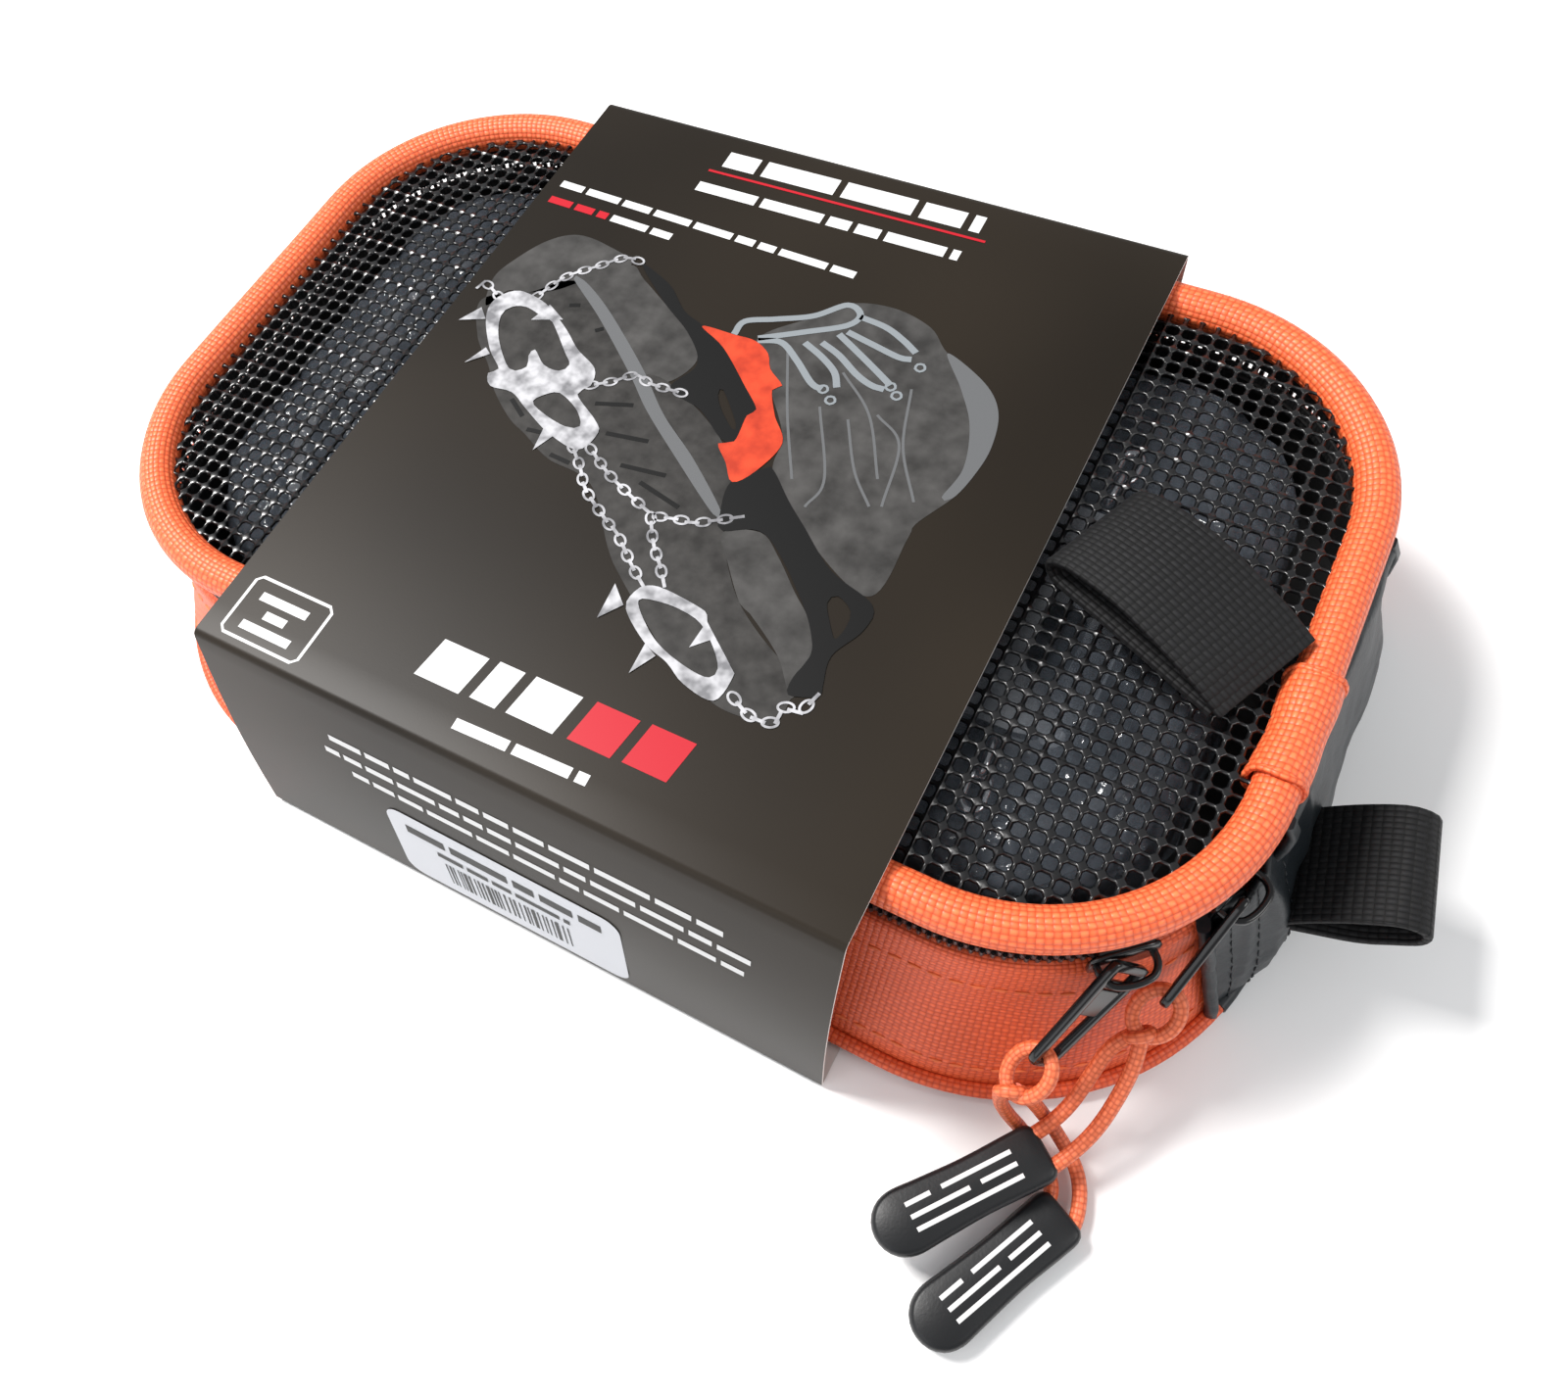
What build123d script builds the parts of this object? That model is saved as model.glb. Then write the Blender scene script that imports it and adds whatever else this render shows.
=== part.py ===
"""Packed microspikes: two chain crampons in a zipped carry case with a card sleeve.

Frame: millimetres, +Z up, +X along the case towards its hinged end, -Y to the front.
The origin is the middle of the footprint, on the surface that the case lies on.
"""
import os
from math import cos, degrees, pi, radians, sin

from build123d import *

os.makedirs("parts", exist_ok=True)

# ---- driving dimensions -------------------------------------------------------------------
LID_LENGTH = 220.0          # over the piping
LID_WIDTH = 133.0
LID_CORNER = 42.0           # outer corner radius of the lid
PIPING_RADIUS = 4.3
PIPING_Z = 47.0             # height of the piping's centre
MESH_THICKNESS = 0.6
MESH_INSET = 9.7
ZIP_Z = 38.0                # height where the two rows of teeth meet
ZIP_INSET = 3.5             # zip line inside the lid's outer outline
TAPE_THICKNESS = 0.6
COIL_DEPTH = 1.1
COIL_HEIGHT = 1.3
COIL_GAP = 0.5              # from the zip line to each coil
WALL = 1.4                  # doubled fabric of the gusset and end panel
FLOOR_GAP = 0.9             # the case lies on the card, not on the table
SLEEVE_LEFT = -63.0
SLEEVE_RIGHT = 61.0
CARD = 0.5
WEBBING = 1.4               # thickness of one layer of webbing
WEBBING_WIDTH = 20.5
CORD_DIAMETER = 2.4
LOOP_ROOM = 60.0              # size of the block that trims each loop's root

CORNER_X = LID_LENGTH / 2 - LID_CORNER
CORNER_Y = -(LID_WIDTH / 2 - LID_CORNER)
ZIP_RADIUS = LID_CORNER - ZIP_INSET
END_STRIP = 50.0            # width of the end panel's straight strip at the hinge

# Outer outline of the gusset at four heights: z, left, right, front, back, corner radius.
GUSSET_SECTIONS = [
    (2.4, -115.0, 116.0, -76.5, 73.5, 48.0),
    (10.0, -114.0, 115.0, -74.5, 72.5, 47.0),
    (22.0, -110.5, 111.5, -68.5, 68.5, 43.5),
    (34.0, -109.5, 109.5, -65.4, 65.4, 41.0),
]


def save(part, name):
    part.label = name
    export_step(part, f"parts/{name}.step")


def lid_outline(inset):
    """The lid's rounded outline, moved inwards."""
    return RectangleRounded(LID_LENGTH - 2 * inset, LID_WIDTH - 2 * inset, LID_CORNER - inset)


def lid_ring(outer_inset, inner_inset):
    """A flat ring between two insets of the lid's outline, drawn in the open sketch."""
    lid_outline(outer_inset)
    RectangleRounded(
        LID_LENGTH - 2 * inner_inset,
        LID_WIDTH - 2 * inner_inset,
        LID_CORNER - inner_inset,
        mode=Mode.SUBTRACT,
    )


def gusset_section(row, inset, mode=Mode.ADD):
    """One rounded outline of the case's wall."""
    z, left, right, front, back, radius = row
    with Locations(((left + right) / 2, (front + back) / 2)):
        RectangleRounded(
            right - left - 2 * inset, back - front - 2 * inset, radius - inset, mode=mode
        )


def at_corner(radius, angle, z):
    """A point on an arc about the front right corner's centre."""
    turn = radians(angle)
    return Vector(CORNER_X + radius * cos(turn), CORNER_Y + radius * sin(turn), z)


# ---- case: base, gusset and hinged end ---------------------------------------------------
def make_bottom_panel():
    with BuildPart() as bottom_panel:
        with BuildSketch(Plane.XY.offset(FLOOR_GAP)):
            gusset_section(GUSSET_SECTIONS[0], 0.4)
        extrude(amount=1.3)
    save(bottom_panel.part, "bottom_panel")


def make_base_hem():
    """The bound seam that joins the base and the walls."""
    outside = 2.3
    with BuildPart() as base_hem:
        with BuildSketch(Plane.XY.offset(1.2)):
            gusset_section(GUSSET_SECTIONS[0], -outside)
            gusset_section(GUSSET_SECTIONS[0], -0.3, mode=Mode.SUBTRACT)
        extrude(amount=2.4)
        fillet(base_hem.edges().group_by(Axis.Z)[-1], 0.8)
    save(base_hem.part, "base_hem")


def wall_ring():
    """The whole wall of the case, open above and below."""
    with BuildPart() as ring:
        for row in GUSSET_SECTIONS:
            with BuildSketch(Plane.XY.offset(row[0])):
                gusset_section(row, 0)
        loft()
        for row in GUSSET_SECTIONS:
            with BuildSketch(Plane.XY.offset(row[0])):
                gusset_section(row, WALL)
        loft(mode=Mode.SUBTRACT)
    return ring.part


def end_wedge():
    """The block of space at the hinged end where the wall is the black end panel."""
    reach = 90.0
    spread = 20.0
    low = at_corner(reach, -spread, 0)
    with BuildPart() as wedge:
        with BuildSketch():
            with BuildLine():
                Polyline(
                    (CORNER_X, CORNER_Y),
                    (low.X, low.Y),
                    (low.X, -low.Y),
                    (CORNER_X, -CORNER_Y),
                    close=True,
                )
            make_face()
        extrude(amount=60)
    return wedge.part


def make_side_gusset(ring, wedge):
    with BuildPart() as side_gusset:
        add(ring)
        add(wedge, mode=Mode.SUBTRACT)
    save(side_gusset.part, "side_gusset")


def make_end_panel_lower(ring, wedge):
    strip_x = GUSSET_SECTIONS[-1][2] - WALL / 2
    strip_top = ZIP_Z - 0.6
    with BuildPart() as end_panel_lower:
        add(ring)
        add(wedge, mode=Mode.INTERSECT)
        with BuildSketch(Plane.XY.offset(33.0)):
            with Locations((strip_x, 0)):
                Rectangle(WALL, END_STRIP)
        extrude(amount=strip_top - 33.0)
    save(end_panel_lower.part, "end_panel_lower")


def cut_zip_end():
    """Opens a ring at the hinged end, where there is no zip."""
    with Locations((LID_LENGTH / 2, 0, ZIP_Z)):
        Box(24, 52.8, 40, mode=Mode.SUBTRACT)


def make_zip_half(side, sign):
    """Tape and coil of one half of the zip; sign is -1 below the zip line, +1 above."""
    tape_reach = {-1: 5.0, 1: 4.4}[sign]
    near = 0.7
    with BuildPart() as zip_tape:
        with BuildSketch(Plane.XY.offset(ZIP_Z + sign * near)):
            lid_ring(ZIP_INSET - TAPE_THICKNESS / 2, ZIP_INSET + TAPE_THICKNESS / 2)
        extrude(amount=sign * (tape_reach - near))
        cut_zip_end()
    save(zip_tape.part, f"zip_tape_{side}")

    coil_out = ZIP_INSET - TAPE_THICKNESS / 2 - 0.1
    with BuildPart() as zip_coil:
        with BuildSketch(Plane.XY.offset(ZIP_Z + sign * COIL_GAP)):
            lid_ring(coil_out - COIL_DEPTH, coil_out)
        extrude(amount=sign * COIL_HEIGHT)
        cut_zip_end()
    save(zip_coil.part, f"zip_coil_{side}")


def make_zip_end_stops():
    """A crimped metal stop past each end of the lower coil."""
    stop_x = LID_LENGTH / 2 - ZIP_INSET + 0.3
    with BuildPart() as zip_end_stops:
        with Locations((stop_x, 24.4, ZIP_Z - 1.0), (stop_x, -24.4, ZIP_Z - 1.0)):
            Box(2.2, 2.4, 2.6)
        fillet(zip_end_stops.edges(), 0.4)
    save(zip_end_stops.part, "zip_end_stops")


# ---- lid ---------------------------------------------------------------------------------
def make_lid_mesh():
    with BuildPart() as lid_mesh:
        with BuildSketch(Plane.XY.offset(PIPING_Z - MESH_THICKNESS / 2)):
            lid_outline(MESH_INSET)
        extrude(amount=MESH_THICKNESS)
    save(lid_mesh.part, "lid_mesh")


def make_lid_piping():
    with BuildPart() as lid_piping:
        with BuildSketch(Plane.XY.offset(PIPING_Z - PIPING_RADIUS)):
            lid_ring(0, 2 * PIPING_RADIUS)
        extrude(amount=2 * PIPING_RADIUS)
        fillet(lid_piping.edges(), PIPING_RADIUS - 0.05)
    save(lid_piping.part, "lid_piping")


def make_piping_joint_cover():
    """The folded cover over the place where the two ends of the piping meet."""
    along = Plane(origin=(LID_LENGTH / 2 - PIPING_RADIUS, -23.0, PIPING_Z), z_dir=(0, 1, 0))
    with BuildPart() as piping_joint_cover:
        with BuildSketch(along):
            Circle(PIPING_RADIUS + 0.8)
            Circle(PIPING_RADIUS + 0.05, mode=Mode.SUBTRACT)
        extrude(amount=18.0)
    save(piping_joint_cover.part, "piping_joint_cover")


def make_end_panel_upper():
    """The flap of the end panel above the zip, wrapped over the outside of the piping."""
    fabric = 0.9
    with BuildPart() as end_panel_upper:
        with BuildSketch(Plane.XY.offset(ZIP_Z + 0.6)):
            with Locations((LID_LENGTH / 2 + 0.35 + fabric / 2, 0)):
                Rectangle(fabric, END_STRIP)
        extrude(amount=6.0)
    save(end_panel_upper.part, "end_panel_upper")


# ---- webbing loops -----------------------------------------------------------------------
def webbing_loop(name, plane, length, low, rise, trim):
    """A strip of webbing folded back on itself and sewn at its root.

    The plane's x runs from the root to the fold and its y is up. low is how far the lower
    layer drops at the fold, rise is the height of the hump in the upper layer, and trim is
    the centre of the block that cuts the root off along the panel it is sewn into.
    """
    layer = WEBBING
    with BuildPart() as loop:
        with BuildSketch(plane):
            with BuildLine():
                Spline(
                    (0, 0),
                    (length * 0.22, rise * 0.55),
                    (length * 0.55, rise),
                    (length * 0.85, rise * 0.86),
                    (length, (rise * 0.5 - low - layer) / 2),
                    (length * 0.88, -low - 2 * layer),
                    (length * 0.5, -low - 2 * layer),
                    (0, -2 * layer - 0.2),
                    tangents=[(1, 0.4), (-1, 0)],
                )
                Line((0, -2 * layer - 0.2), (0, 0))
            make_face()
            with BuildLine():
                Spline(
                    (length * 0.14, -layer * 0.72),
                    (length * 0.26, rise * 0.55 - layer),
                    (length * 0.55, rise - layer),
                    (length * 0.82, rise * 0.84 - layer),
                    (length - layer, (rise * 0.5 - low - layer) / 2),
                    (length * 0.86, -low - layer),
                    (length * 0.5, -low - layer),
                    (length * 0.14, -layer * 0.92 - low * 0.1),
                )
                Line((length * 0.14, -layer * 0.92 - low * 0.1), (length * 0.14, -layer * 0.72))
            make_face(mode=Mode.SUBTRACT)
        extrude(amount=WEBBING_WIDTH / 2, both=True)
        with Locations(trim):
            Box(20, LOOP_ROOM, LOOP_ROOM, mode=Mode.SUBTRACT)
    save(loop.part, name)


LID_LOOP_ROOT = (99.6, -9.2, 51.3)
LID_LOOP_HEADING = 156.0        # degrees from +X, seen from above
END_LOOP_ROOT = (114.2, -21.5, 18.0)
END_LOOP_HEADING = 10.0
END_LOOP_RISE = 35.0            # degrees above level


def loop_plane(root, heading, raised=0.0):
    turn = radians(heading)
    level = cos(radians(raised))
    ahead = Vector(cos(turn) * level, sin(turn) * level, sin(radians(raised)))
    side = Vector(sin(turn), -cos(turn), 0)
    return Plane(origin=root, x_dir=ahead, z_dir=side)


# ---- zip sliders -------------------------------------------------------------------------
SLIDER_ANGLES = {1: -47.0, 2: -18.5}
SLIDER_HALF = 5.5               # half the slider's length along the zip
INNER_PLATE = (36.8, 37.6)      # radii about the corner's centre
OUTER_PLATE = (40.4, 41.3)
BAIL_OUT = 45.4                  # radius of the bail's outer edge
BAIL_WINDOW = (41.1, 44.2)
CROSSBAR_RADIUS = 42.75


def sector(inner, outer, angle, half, mode=Mode.ADD):
    """A piece of a ring about the front right corner's centre, half long each way."""
    middle = (inner + outer) / 2
    spread = degrees(half / middle)
    first, mid, last = (at_corner(1, angle + k * spread, 0) for k in (-1, 0, 1))
    centre = Vector(CORNER_X, CORNER_Y)

    def out(direction, radius):
        step = direction - centre
        return (CORNER_X + step.X * radius, CORNER_Y + step.Y * radius)

    with BuildLine() as edge:
        ThreePointArc(out(first, outer), out(mid, outer), out(last, outer))
        Line(out(last, outer), out(last, inner))
        ThreePointArc(out(last, inner), out(mid, inner), out(first, inner))
        Line(out(first, inner), out(first, outer))
    make_face(edge.edges(), mode=mode)


def make_zip_slider(number):
    angle = SLIDER_ANGLES[number]
    blade = 0.4
    bail = 1.2
    with BuildPart() as zip_slider:
        with BuildSketch(Plane.XY.offset(ZIP_Z - 3.4)):
            sector(*OUTER_PLATE, angle, SLIDER_HALF)
        extrude(amount=7.2)
        with BuildSketch(Plane.XY.offset(ZIP_Z - 3.6)):
            sector(*INNER_PLATE, angle, SLIDER_HALF)
        extrude(amount=7.4)
        with BuildSketch(Plane.XY.offset(ZIP_Z - blade / 2)):
            sector(INNER_PLATE[0] + 0.1, OUTER_PLATE[1] - 0.1, angle, SLIDER_HALF - 1.0)
        extrude(amount=blade)
        with BuildSketch(Plane.XY.offset(ZIP_Z - bail / 2)):
            sector(OUTER_PLATE[0] + 0.2, BAIL_OUT, angle, 4.0)
            sector(*BAIL_WINDOW, angle, 3.0, mode=Mode.SUBTRACT)
        extrude(amount=bail)
    save(zip_slider.part, f"zip_slider_{number}")


# ---- pullers, their cords and tabs -------------------------------------------------------
PULLER_LENGTH = 20.0
PULLER_TILT = {1: -20.0, 2: 0.0}            # roll about the puller's own long axis
PULLER_HEADING = {
    1: Vector(-5.4, -14.0, -10.6),
    2: Vector(-4.6, -18.6, -14.4),
}


def puller_plane(number):
    """x from the slider to the free end, y across, origin at the crossbar."""
    ahead = PULLER_HEADING[number].normalized()
    level = Vector(-ahead.Y, ahead.X, 0).normalized()
    upright = ahead.cross(level)
    turn = radians(PULLER_TILT[number])
    across = upright * cos(turn) + level * sin(turn)
    origin = at_corner(CROSSBAR_RADIUS, SLIDER_ANGLES[number], ZIP_Z)
    return Plane(origin=origin, x_dir=ahead, z_dir=ahead.cross(across))


def make_puller(number):
    bar = 1.3
    thick = 1.4
    root_half = 4.6
    tip_half = 3.2
    end = PULLER_LENGTH + bar / 2
    with BuildPart() as puller:
        with BuildSketch(puller_plane(number)) as frame:
            with BuildLine():
                Polyline(
                    (-bar / 2, -root_half),
                    (end, -tip_half),
                    (end, tip_half),
                    (-bar / 2, root_half),
                    close=True,
                )
            make_face()
            fillet(frame.vertices(), 0.8)
            with BuildLine():
                Polyline(
                    (bar / 2, -root_half + bar),
                    (end - bar, -tip_half + bar),
                    (end - bar, tip_half - bar),
                    (bar / 2, root_half - bar),
                    close=True,
                )
            make_face(mode=Mode.SUBTRACT)
        extrude(amount=thick / 2, both=True)
    save(puller.part, f"puller_{number}")


def make_cord_collar(number):
    """The hitch of the pull cord round the puller's end bar."""
    ring = 3.3
    plane = puller_plane(number)
    centre = plane.origin + plane.x_dir * (PULLER_LENGTH + 1.45)
    with BuildPart() as cord_collar:
        with Locations(Plane(origin=centre, x_dir=plane.x_dir, z_dir=plane.y_dir)):
            Torus(ring, 1.15)
    save(cord_collar.part, f"cord_collar_{number}")


# Each pull cord is one piece doubled: out of the hitch, down, round inside the tab and back.
CORD_ROUTES = {
    1: [
        (87.0, -75.6, 19.2),
        (89.0, -76.6, 10.2),
        (94.2, -77.4, 3.0),
        (99.6, -80.8, 2.1),
        (101.9, -84.6, 2.3),
        (99.9, -88.7, 2.5),
        (104.8, -91.0, 2.5),
        (106.7, -86.9, 2.3),
        (104.8, -79.6, 2.0),
        (99.2, -75.2, 2.8),
        (93.8, -73.6, 10.2),
        (91.2, -72.8, 19.4),
    ],
    2: [
        (99.6, -61.6, 19.8),
        (99.4, -66.8, 15.2),
        (98.4, -72.4, 11.4),
        (95.8, -77.4, 8.6),
        (92.8, -81.4, 7.7),
        (97.3, -84.4, 7.7),
        (100.4, -80.4, 8.2),
        (103.4, -74.0, 10.8),
        (104.4, -67.6, 15.0),
        (104.3, -61.8, 20.2),
    ],
}
TABS = {
    # mouth centre, unit direction to the tip, underside
    1: ((104.2, -85.8), (-0.429, -0.903), 0.3),
    2: ((97.8, -79.3), (-0.599, -0.801), 5.5),
}
TAB_THICKNESS = 4.4
TAB_LENGTH = 31.0


def corner_radii(route):
    """The largest tangent arc that each corner's two runs leave room for."""
    points = [Vector(*p) for p in route]
    radii = []
    for before, here, after in zip(points, points[1:], points[2:]):
        come = here - before
        go = after - here
        half_turn = radians(come.get_angle(go)) / 2
        shorter = min(come.length, go.length)
        radii.append(0.45 * shorter * cos(half_turn) / sin(half_turn))
    return radii


def make_pull_cord(number):
    route = CORD_ROUTES[number]
    radii = corner_radii(route)
    with BuildPart() as pull_cord:
        with BuildLine():
            run = FilletPolyline(*route, radius=radii)
        with BuildSketch(Plane(origin=run @ 0, z_dir=run % 0)):
            Circle(CORD_DIAMETER / 2)
        sweep()
    save(pull_cord.part, f"pull_cord_{number}")
    expected = run.length * pi * CORD_DIAMETER**2 / 4
    print(f"pull_cord_{number}: length {run.length:.1f}", [round(r, 1) for r in radii])
    print(f"  volume {pull_cord.part.volume:.1f}, section times length {expected:.1f}")


def make_pull_tab(number):
    """A moulded rubber tab, a little wider towards its rounded tip."""
    mouth, ahead, underside = TABS[number]
    plane = Plane(origin=(*mouth, underside), x_dir=(*ahead, 0), z_dir=(0, 0, 1))
    mouth_half = 4.6
    tip_half = 5.2
    with BuildPart() as pull_tab:
        with BuildSketch(plane):
            with BuildLine():
                Line((0, -mouth_half), (TAB_LENGTH - tip_half, -tip_half))
                ThreePointArc(
                    (TAB_LENGTH - tip_half, -tip_half),
                    (TAB_LENGTH, 0),
                    (TAB_LENGTH - tip_half, tip_half),
                )
                Line((TAB_LENGTH - tip_half, tip_half), (0, mouth_half))
                Line((0, mouth_half), (0, -mouth_half))
            make_face()
        extrude(amount=TAB_THICKNESS)
        fillet(pull_tab.edges().group_by(Axis.Z)[-1] + pull_tab.edges().group_by(Axis.Z)[0], 1.2)
    save(pull_tab.part, f"pull_tab_{number}")


# ---- card sleeve -------------------------------------------------------------------------
SLEEVE_TOP = PIPING_Z + PIPING_RADIUS + 0.3 + CARD
SLEEVE_CORNERS = [(-86.0, 0), (-75.5, SLEEVE_TOP), (69.5, SLEEVE_TOP), (78.5, 0)]


def make_card_sleeve():
    with BuildPart() as card_sleeve:
        with BuildSketch(Plane.YZ.offset(SLEEVE_LEFT)) as section:
            with BuildLine():
                Polyline(*SLEEVE_CORNERS, close=True)
            make_face()
            fillet(section.vertices(), 1.5)
            offset(amount=-CARD, mode=Mode.SUBTRACT)
        extrude(amount=SLEEVE_RIGHT - SLEEVE_LEFT)
    save(card_sleeve.part, "card_sleeve")


def make_size_label():
    """The sticker on the sleeve's front face."""
    foot = Vector(0, SLEEVE_CORNERS[0][0], SLEEVE_CORNERS[0][1])
    head = Vector(0, SLEEVE_CORNERS[1][0], SLEEVE_CORNERS[1][1])
    up = (head - foot).normalized()
    face = Plane(origin=foot + up * 14.5 + Vector(-2.5, 0, 0), x_dir=(1, 0, 0),
                 z_dir=Vector(1, 0, 0).cross(up))
    with BuildPart() as size_label:
        with BuildSketch(face.offset(0.02)):
            RectangleRounded(50.0, 24.0, 3.5)
        extrude(amount=0.15)
    save(size_label.part, "size_label")


# ---- what the case holds: the clear bag and two crampons ---------------------------------
def make_clear_bag():
    """A clear bag round both crampons, with its mouth at the left end."""
    film = 0.5
    height = 36.5
    with BuildPart() as clear_bag:
        with BuildSketch(Plane.XY.offset(3.0)):
            RectangleRounded(198.0, 113.0, 28.0)
        extrude(amount=height)
        with BuildSketch(Plane.XY.offset(3.0 + film)):
            RectangleRounded(198.0 - 2 * film, 113.0 - 2 * film, 28.0 - film)
        extrude(amount=height - 2 * film, mode=Mode.SUBTRACT)
        with Locations((-97.0, 0, 3.0 + height / 2)):
            Box(6, 60, height - 6, mode=Mode.SUBTRACT)
    save(clear_bag.part, "clear_bag")


HARNESS_LENGTH = 182.0
HARNESS_WIDTH = 98.0
HARNESS_CORNER = 38.0
HARNESS_WALL = 3.0
HARNESS_HEIGHT = 11.0
LINK_WIRE = 1.0
LINK_LENGTH = 9.0
LINK_WIDTH = 5.6
LINK_PITCH = LINK_LENGTH - 2.6 * LINK_WIRE
CRAMPONS = {"left": (5.0, 1), "right": (22.5, -1)}     # height of the spikes, heading


def make_harness(side, base, heading):
    """The elastomer ring that stretches over the boot, with its heel and toe tongues."""
    with BuildPart() as harness:
        with BuildSketch(Plane.XY.offset(base)):
            RectangleRounded(HARNESS_LENGTH, HARNESS_WIDTH, HARNESS_CORNER)
            RectangleRounded(
                HARNESS_LENGTH - 2 * HARNESS_WALL,
                HARNESS_WIDTH - 2 * HARNESS_WALL,
                HARNESS_CORNER - HARNESS_WALL,
                mode=Mode.SUBTRACT,
            )
        extrude(amount=HARNESS_HEIGHT)
        with Locations((heading * -(HARNESS_LENGTH / 2 - 4.0), 0, base + HARNESS_HEIGHT / 2)):
            Box(6, 26, HARNESS_HEIGHT)
        with Locations((heading * (HARNESS_LENGTH / 2 - 4.0), 0, base + HARNESS_HEIGHT / 2)):
            Box(6, 18, HARNESS_HEIGHT)
    save(harness.part, f"harness_{side}")


def spike_plate(name, centre, length, width, windows, spikes, base):
    """A stainless plate with windows, and points bent down from its rim."""
    plate_z = base + 7.4
    thick = 2.0
    with BuildPart() as plate:
        with BuildSketch(Plane.XY.offset(plate_z)):
            with Locations(centre):
                RectangleRounded(length, width, min(11.0, length / 2 - 1.0))
                with GridLocations(length / 2, 0, windows, 1):
                    SlotOverall(width * 0.52, length / windows * 0.4, 90, mode=Mode.SUBTRACT)
        extrude(amount=thick)
        with Locations((centre[0], centre[1], plate_z - 3.4)):
            with GridLocations((length - 8.0) / (spikes - 1), width - 6.0, spikes, 2):
                Cone(0.35, 2.3, 7.2)
    save(plate.part, name)


def chain(name, strands, z):
    """Strands of chain: straight rows of links, each link turned a quarter from the last."""
    with BuildPart() as link:
        with BuildLine(Plane.XY) as path:
            half = LINK_LENGTH / 2 - LINK_WIDTH / 2
            reach = LINK_WIDTH / 2 - LINK_WIRE
            Line((-half, -reach), (half, -reach))
            ThreePointArc((half, -reach), (half + reach, 0), (half, reach))
            Line((half, reach), (-half, reach))
            ThreePointArc((-half, reach), (-half - reach, 0), (-half, -reach))
        with BuildSketch(Plane(origin=path.wire() @ 0, z_dir=path.wire() % 0)):
            Circle(LINK_WIRE)
        sweep()
    placed = []
    for (start_x, start_y), (end_x, end_y) in strands:
        run = Vector(end_x - start_x, end_y - start_y, 0)
        ahead = run.normalized()
        side = Vector(-ahead.Y, ahead.X, 0)
        count = int(run.length // LINK_PITCH)
        slack = (run.length - count * LINK_PITCH) / 2
        for step in range(count):
            spot = Vector(start_x, start_y, z) + ahead * (slack + (step + 0.5) * LINK_PITCH)
            normal = Vector(0, 0, 1) if step % 2 else side
            placed.append(Plane(origin=spot, x_dir=ahead, z_dir=normal).location * link.part)
    group = Compound(label=name, children=[p.solid() for p in placed])
    export_step(group, f"parts/{name}.step")


def make_instep_strap(side, base):
    """The hook-and-loop strap, folded flat across the harness."""
    with BuildPart() as instep_strap:
        with BuildSketch(Plane.XY.offset(base + HARNESS_HEIGHT + 0.4)):
            with Locations(({"left": -8.0, "right": 6.0}[side], 0)):
                RectangleRounded(25.0, 104.0, 3.0)
        extrude(amount=2.4)
    save(instep_strap.part, f"instep_strap_{side}")


def make_crampon(side, base, heading):
    make_harness(side, base, heading)
    spike_plate(f"toe_plate_{side}", (heading * 54.0, 0), 46.0, 56.0, 2, 3, base)
    spike_plate(f"ball_plate_{side}", (heading * 20.0, 0), 17.0, 36.0, 1, 2, base)
    spike_plate(f"heel_plate_{side}", (heading * -58.0, 0), 38.0, 48.0, 2, 2, base)
    level = base + 8.4
    edge = HARNESS_WIDTH / 2 - HARNESS_WALL - 0.5
    front = []
    middle = []
    rear = []
    for across in (-1, 1):
        front.append(((heading * 66.0, across * 28.8), (heading * 67.0, across * (edge - 4.0))))
        front.append(((heading * 42.0, across * 28.8), (heading * 37.0, across * edge)))
        middle.append(((heading * -38.4, across * 12.0), (heading * 11.0, across * 12.0)))
        rear.append(((heading * -50.0, across * 25.0), (heading * -44.0, across * edge)))
        rear.append(((heading * -65.0, across * 25.0), (heading * -66.0, across * (edge - 4.0))))
    chain(f"front_chains_{side}", front, level)
    chain(f"middle_chains_{side}", middle, level)
    chain(f"rear_chains_{side}", rear, level)
    make_instep_strap(side, base)


# ---- build everything --------------------------------------------------------------------
RING = wall_ring()
WEDGE = end_wedge()
make_bottom_panel()
make_base_hem()
make_side_gusset(RING, WEDGE)
make_end_panel_lower(RING, WEDGE)
make_zip_half("lower", -1)
make_zip_half("upper", 1)
make_zip_end_stops()
make_lid_mesh()
make_lid_piping()
make_piping_joint_cover()
make_end_panel_upper()
lid_plane = loop_plane(LID_LOOP_ROOT, LID_LOOP_HEADING)
end_plane = loop_plane(END_LOOP_ROOT, END_LOOP_HEADING, END_LOOP_RISE)
webbing_loop("lid_loop", lid_plane, length=36.5, low=0.0, rise=5.6, trim=(110.6, -9, 50))
webbing_loop("end_loop", end_plane, length=22.5, low=4.0, rise=2.4, trim=(104.5, -21, 16))
for slider_number in (1, 2):
    make_zip_slider(slider_number)
    make_puller(slider_number)
    make_cord_collar(slider_number)
    make_pull_cord(slider_number)
    make_pull_tab(slider_number)
make_card_sleeve()
make_size_label()
make_clear_bag()
for crampon_side, (crampon_base, crampon_heading) in CRAMPONS.items():
    make_crampon(crampon_side, crampon_base, crampon_heading)
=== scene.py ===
"""Packed microspikes: a zipped mesh-lid case in a card sleeve, holding two chain crampons.

Everything is written in millimetres in the CAD frame and turned to metres in build().
"""
import math
import random

import bpy
from mathutils import Euler, Matrix, Vector, geometry, noise


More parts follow.
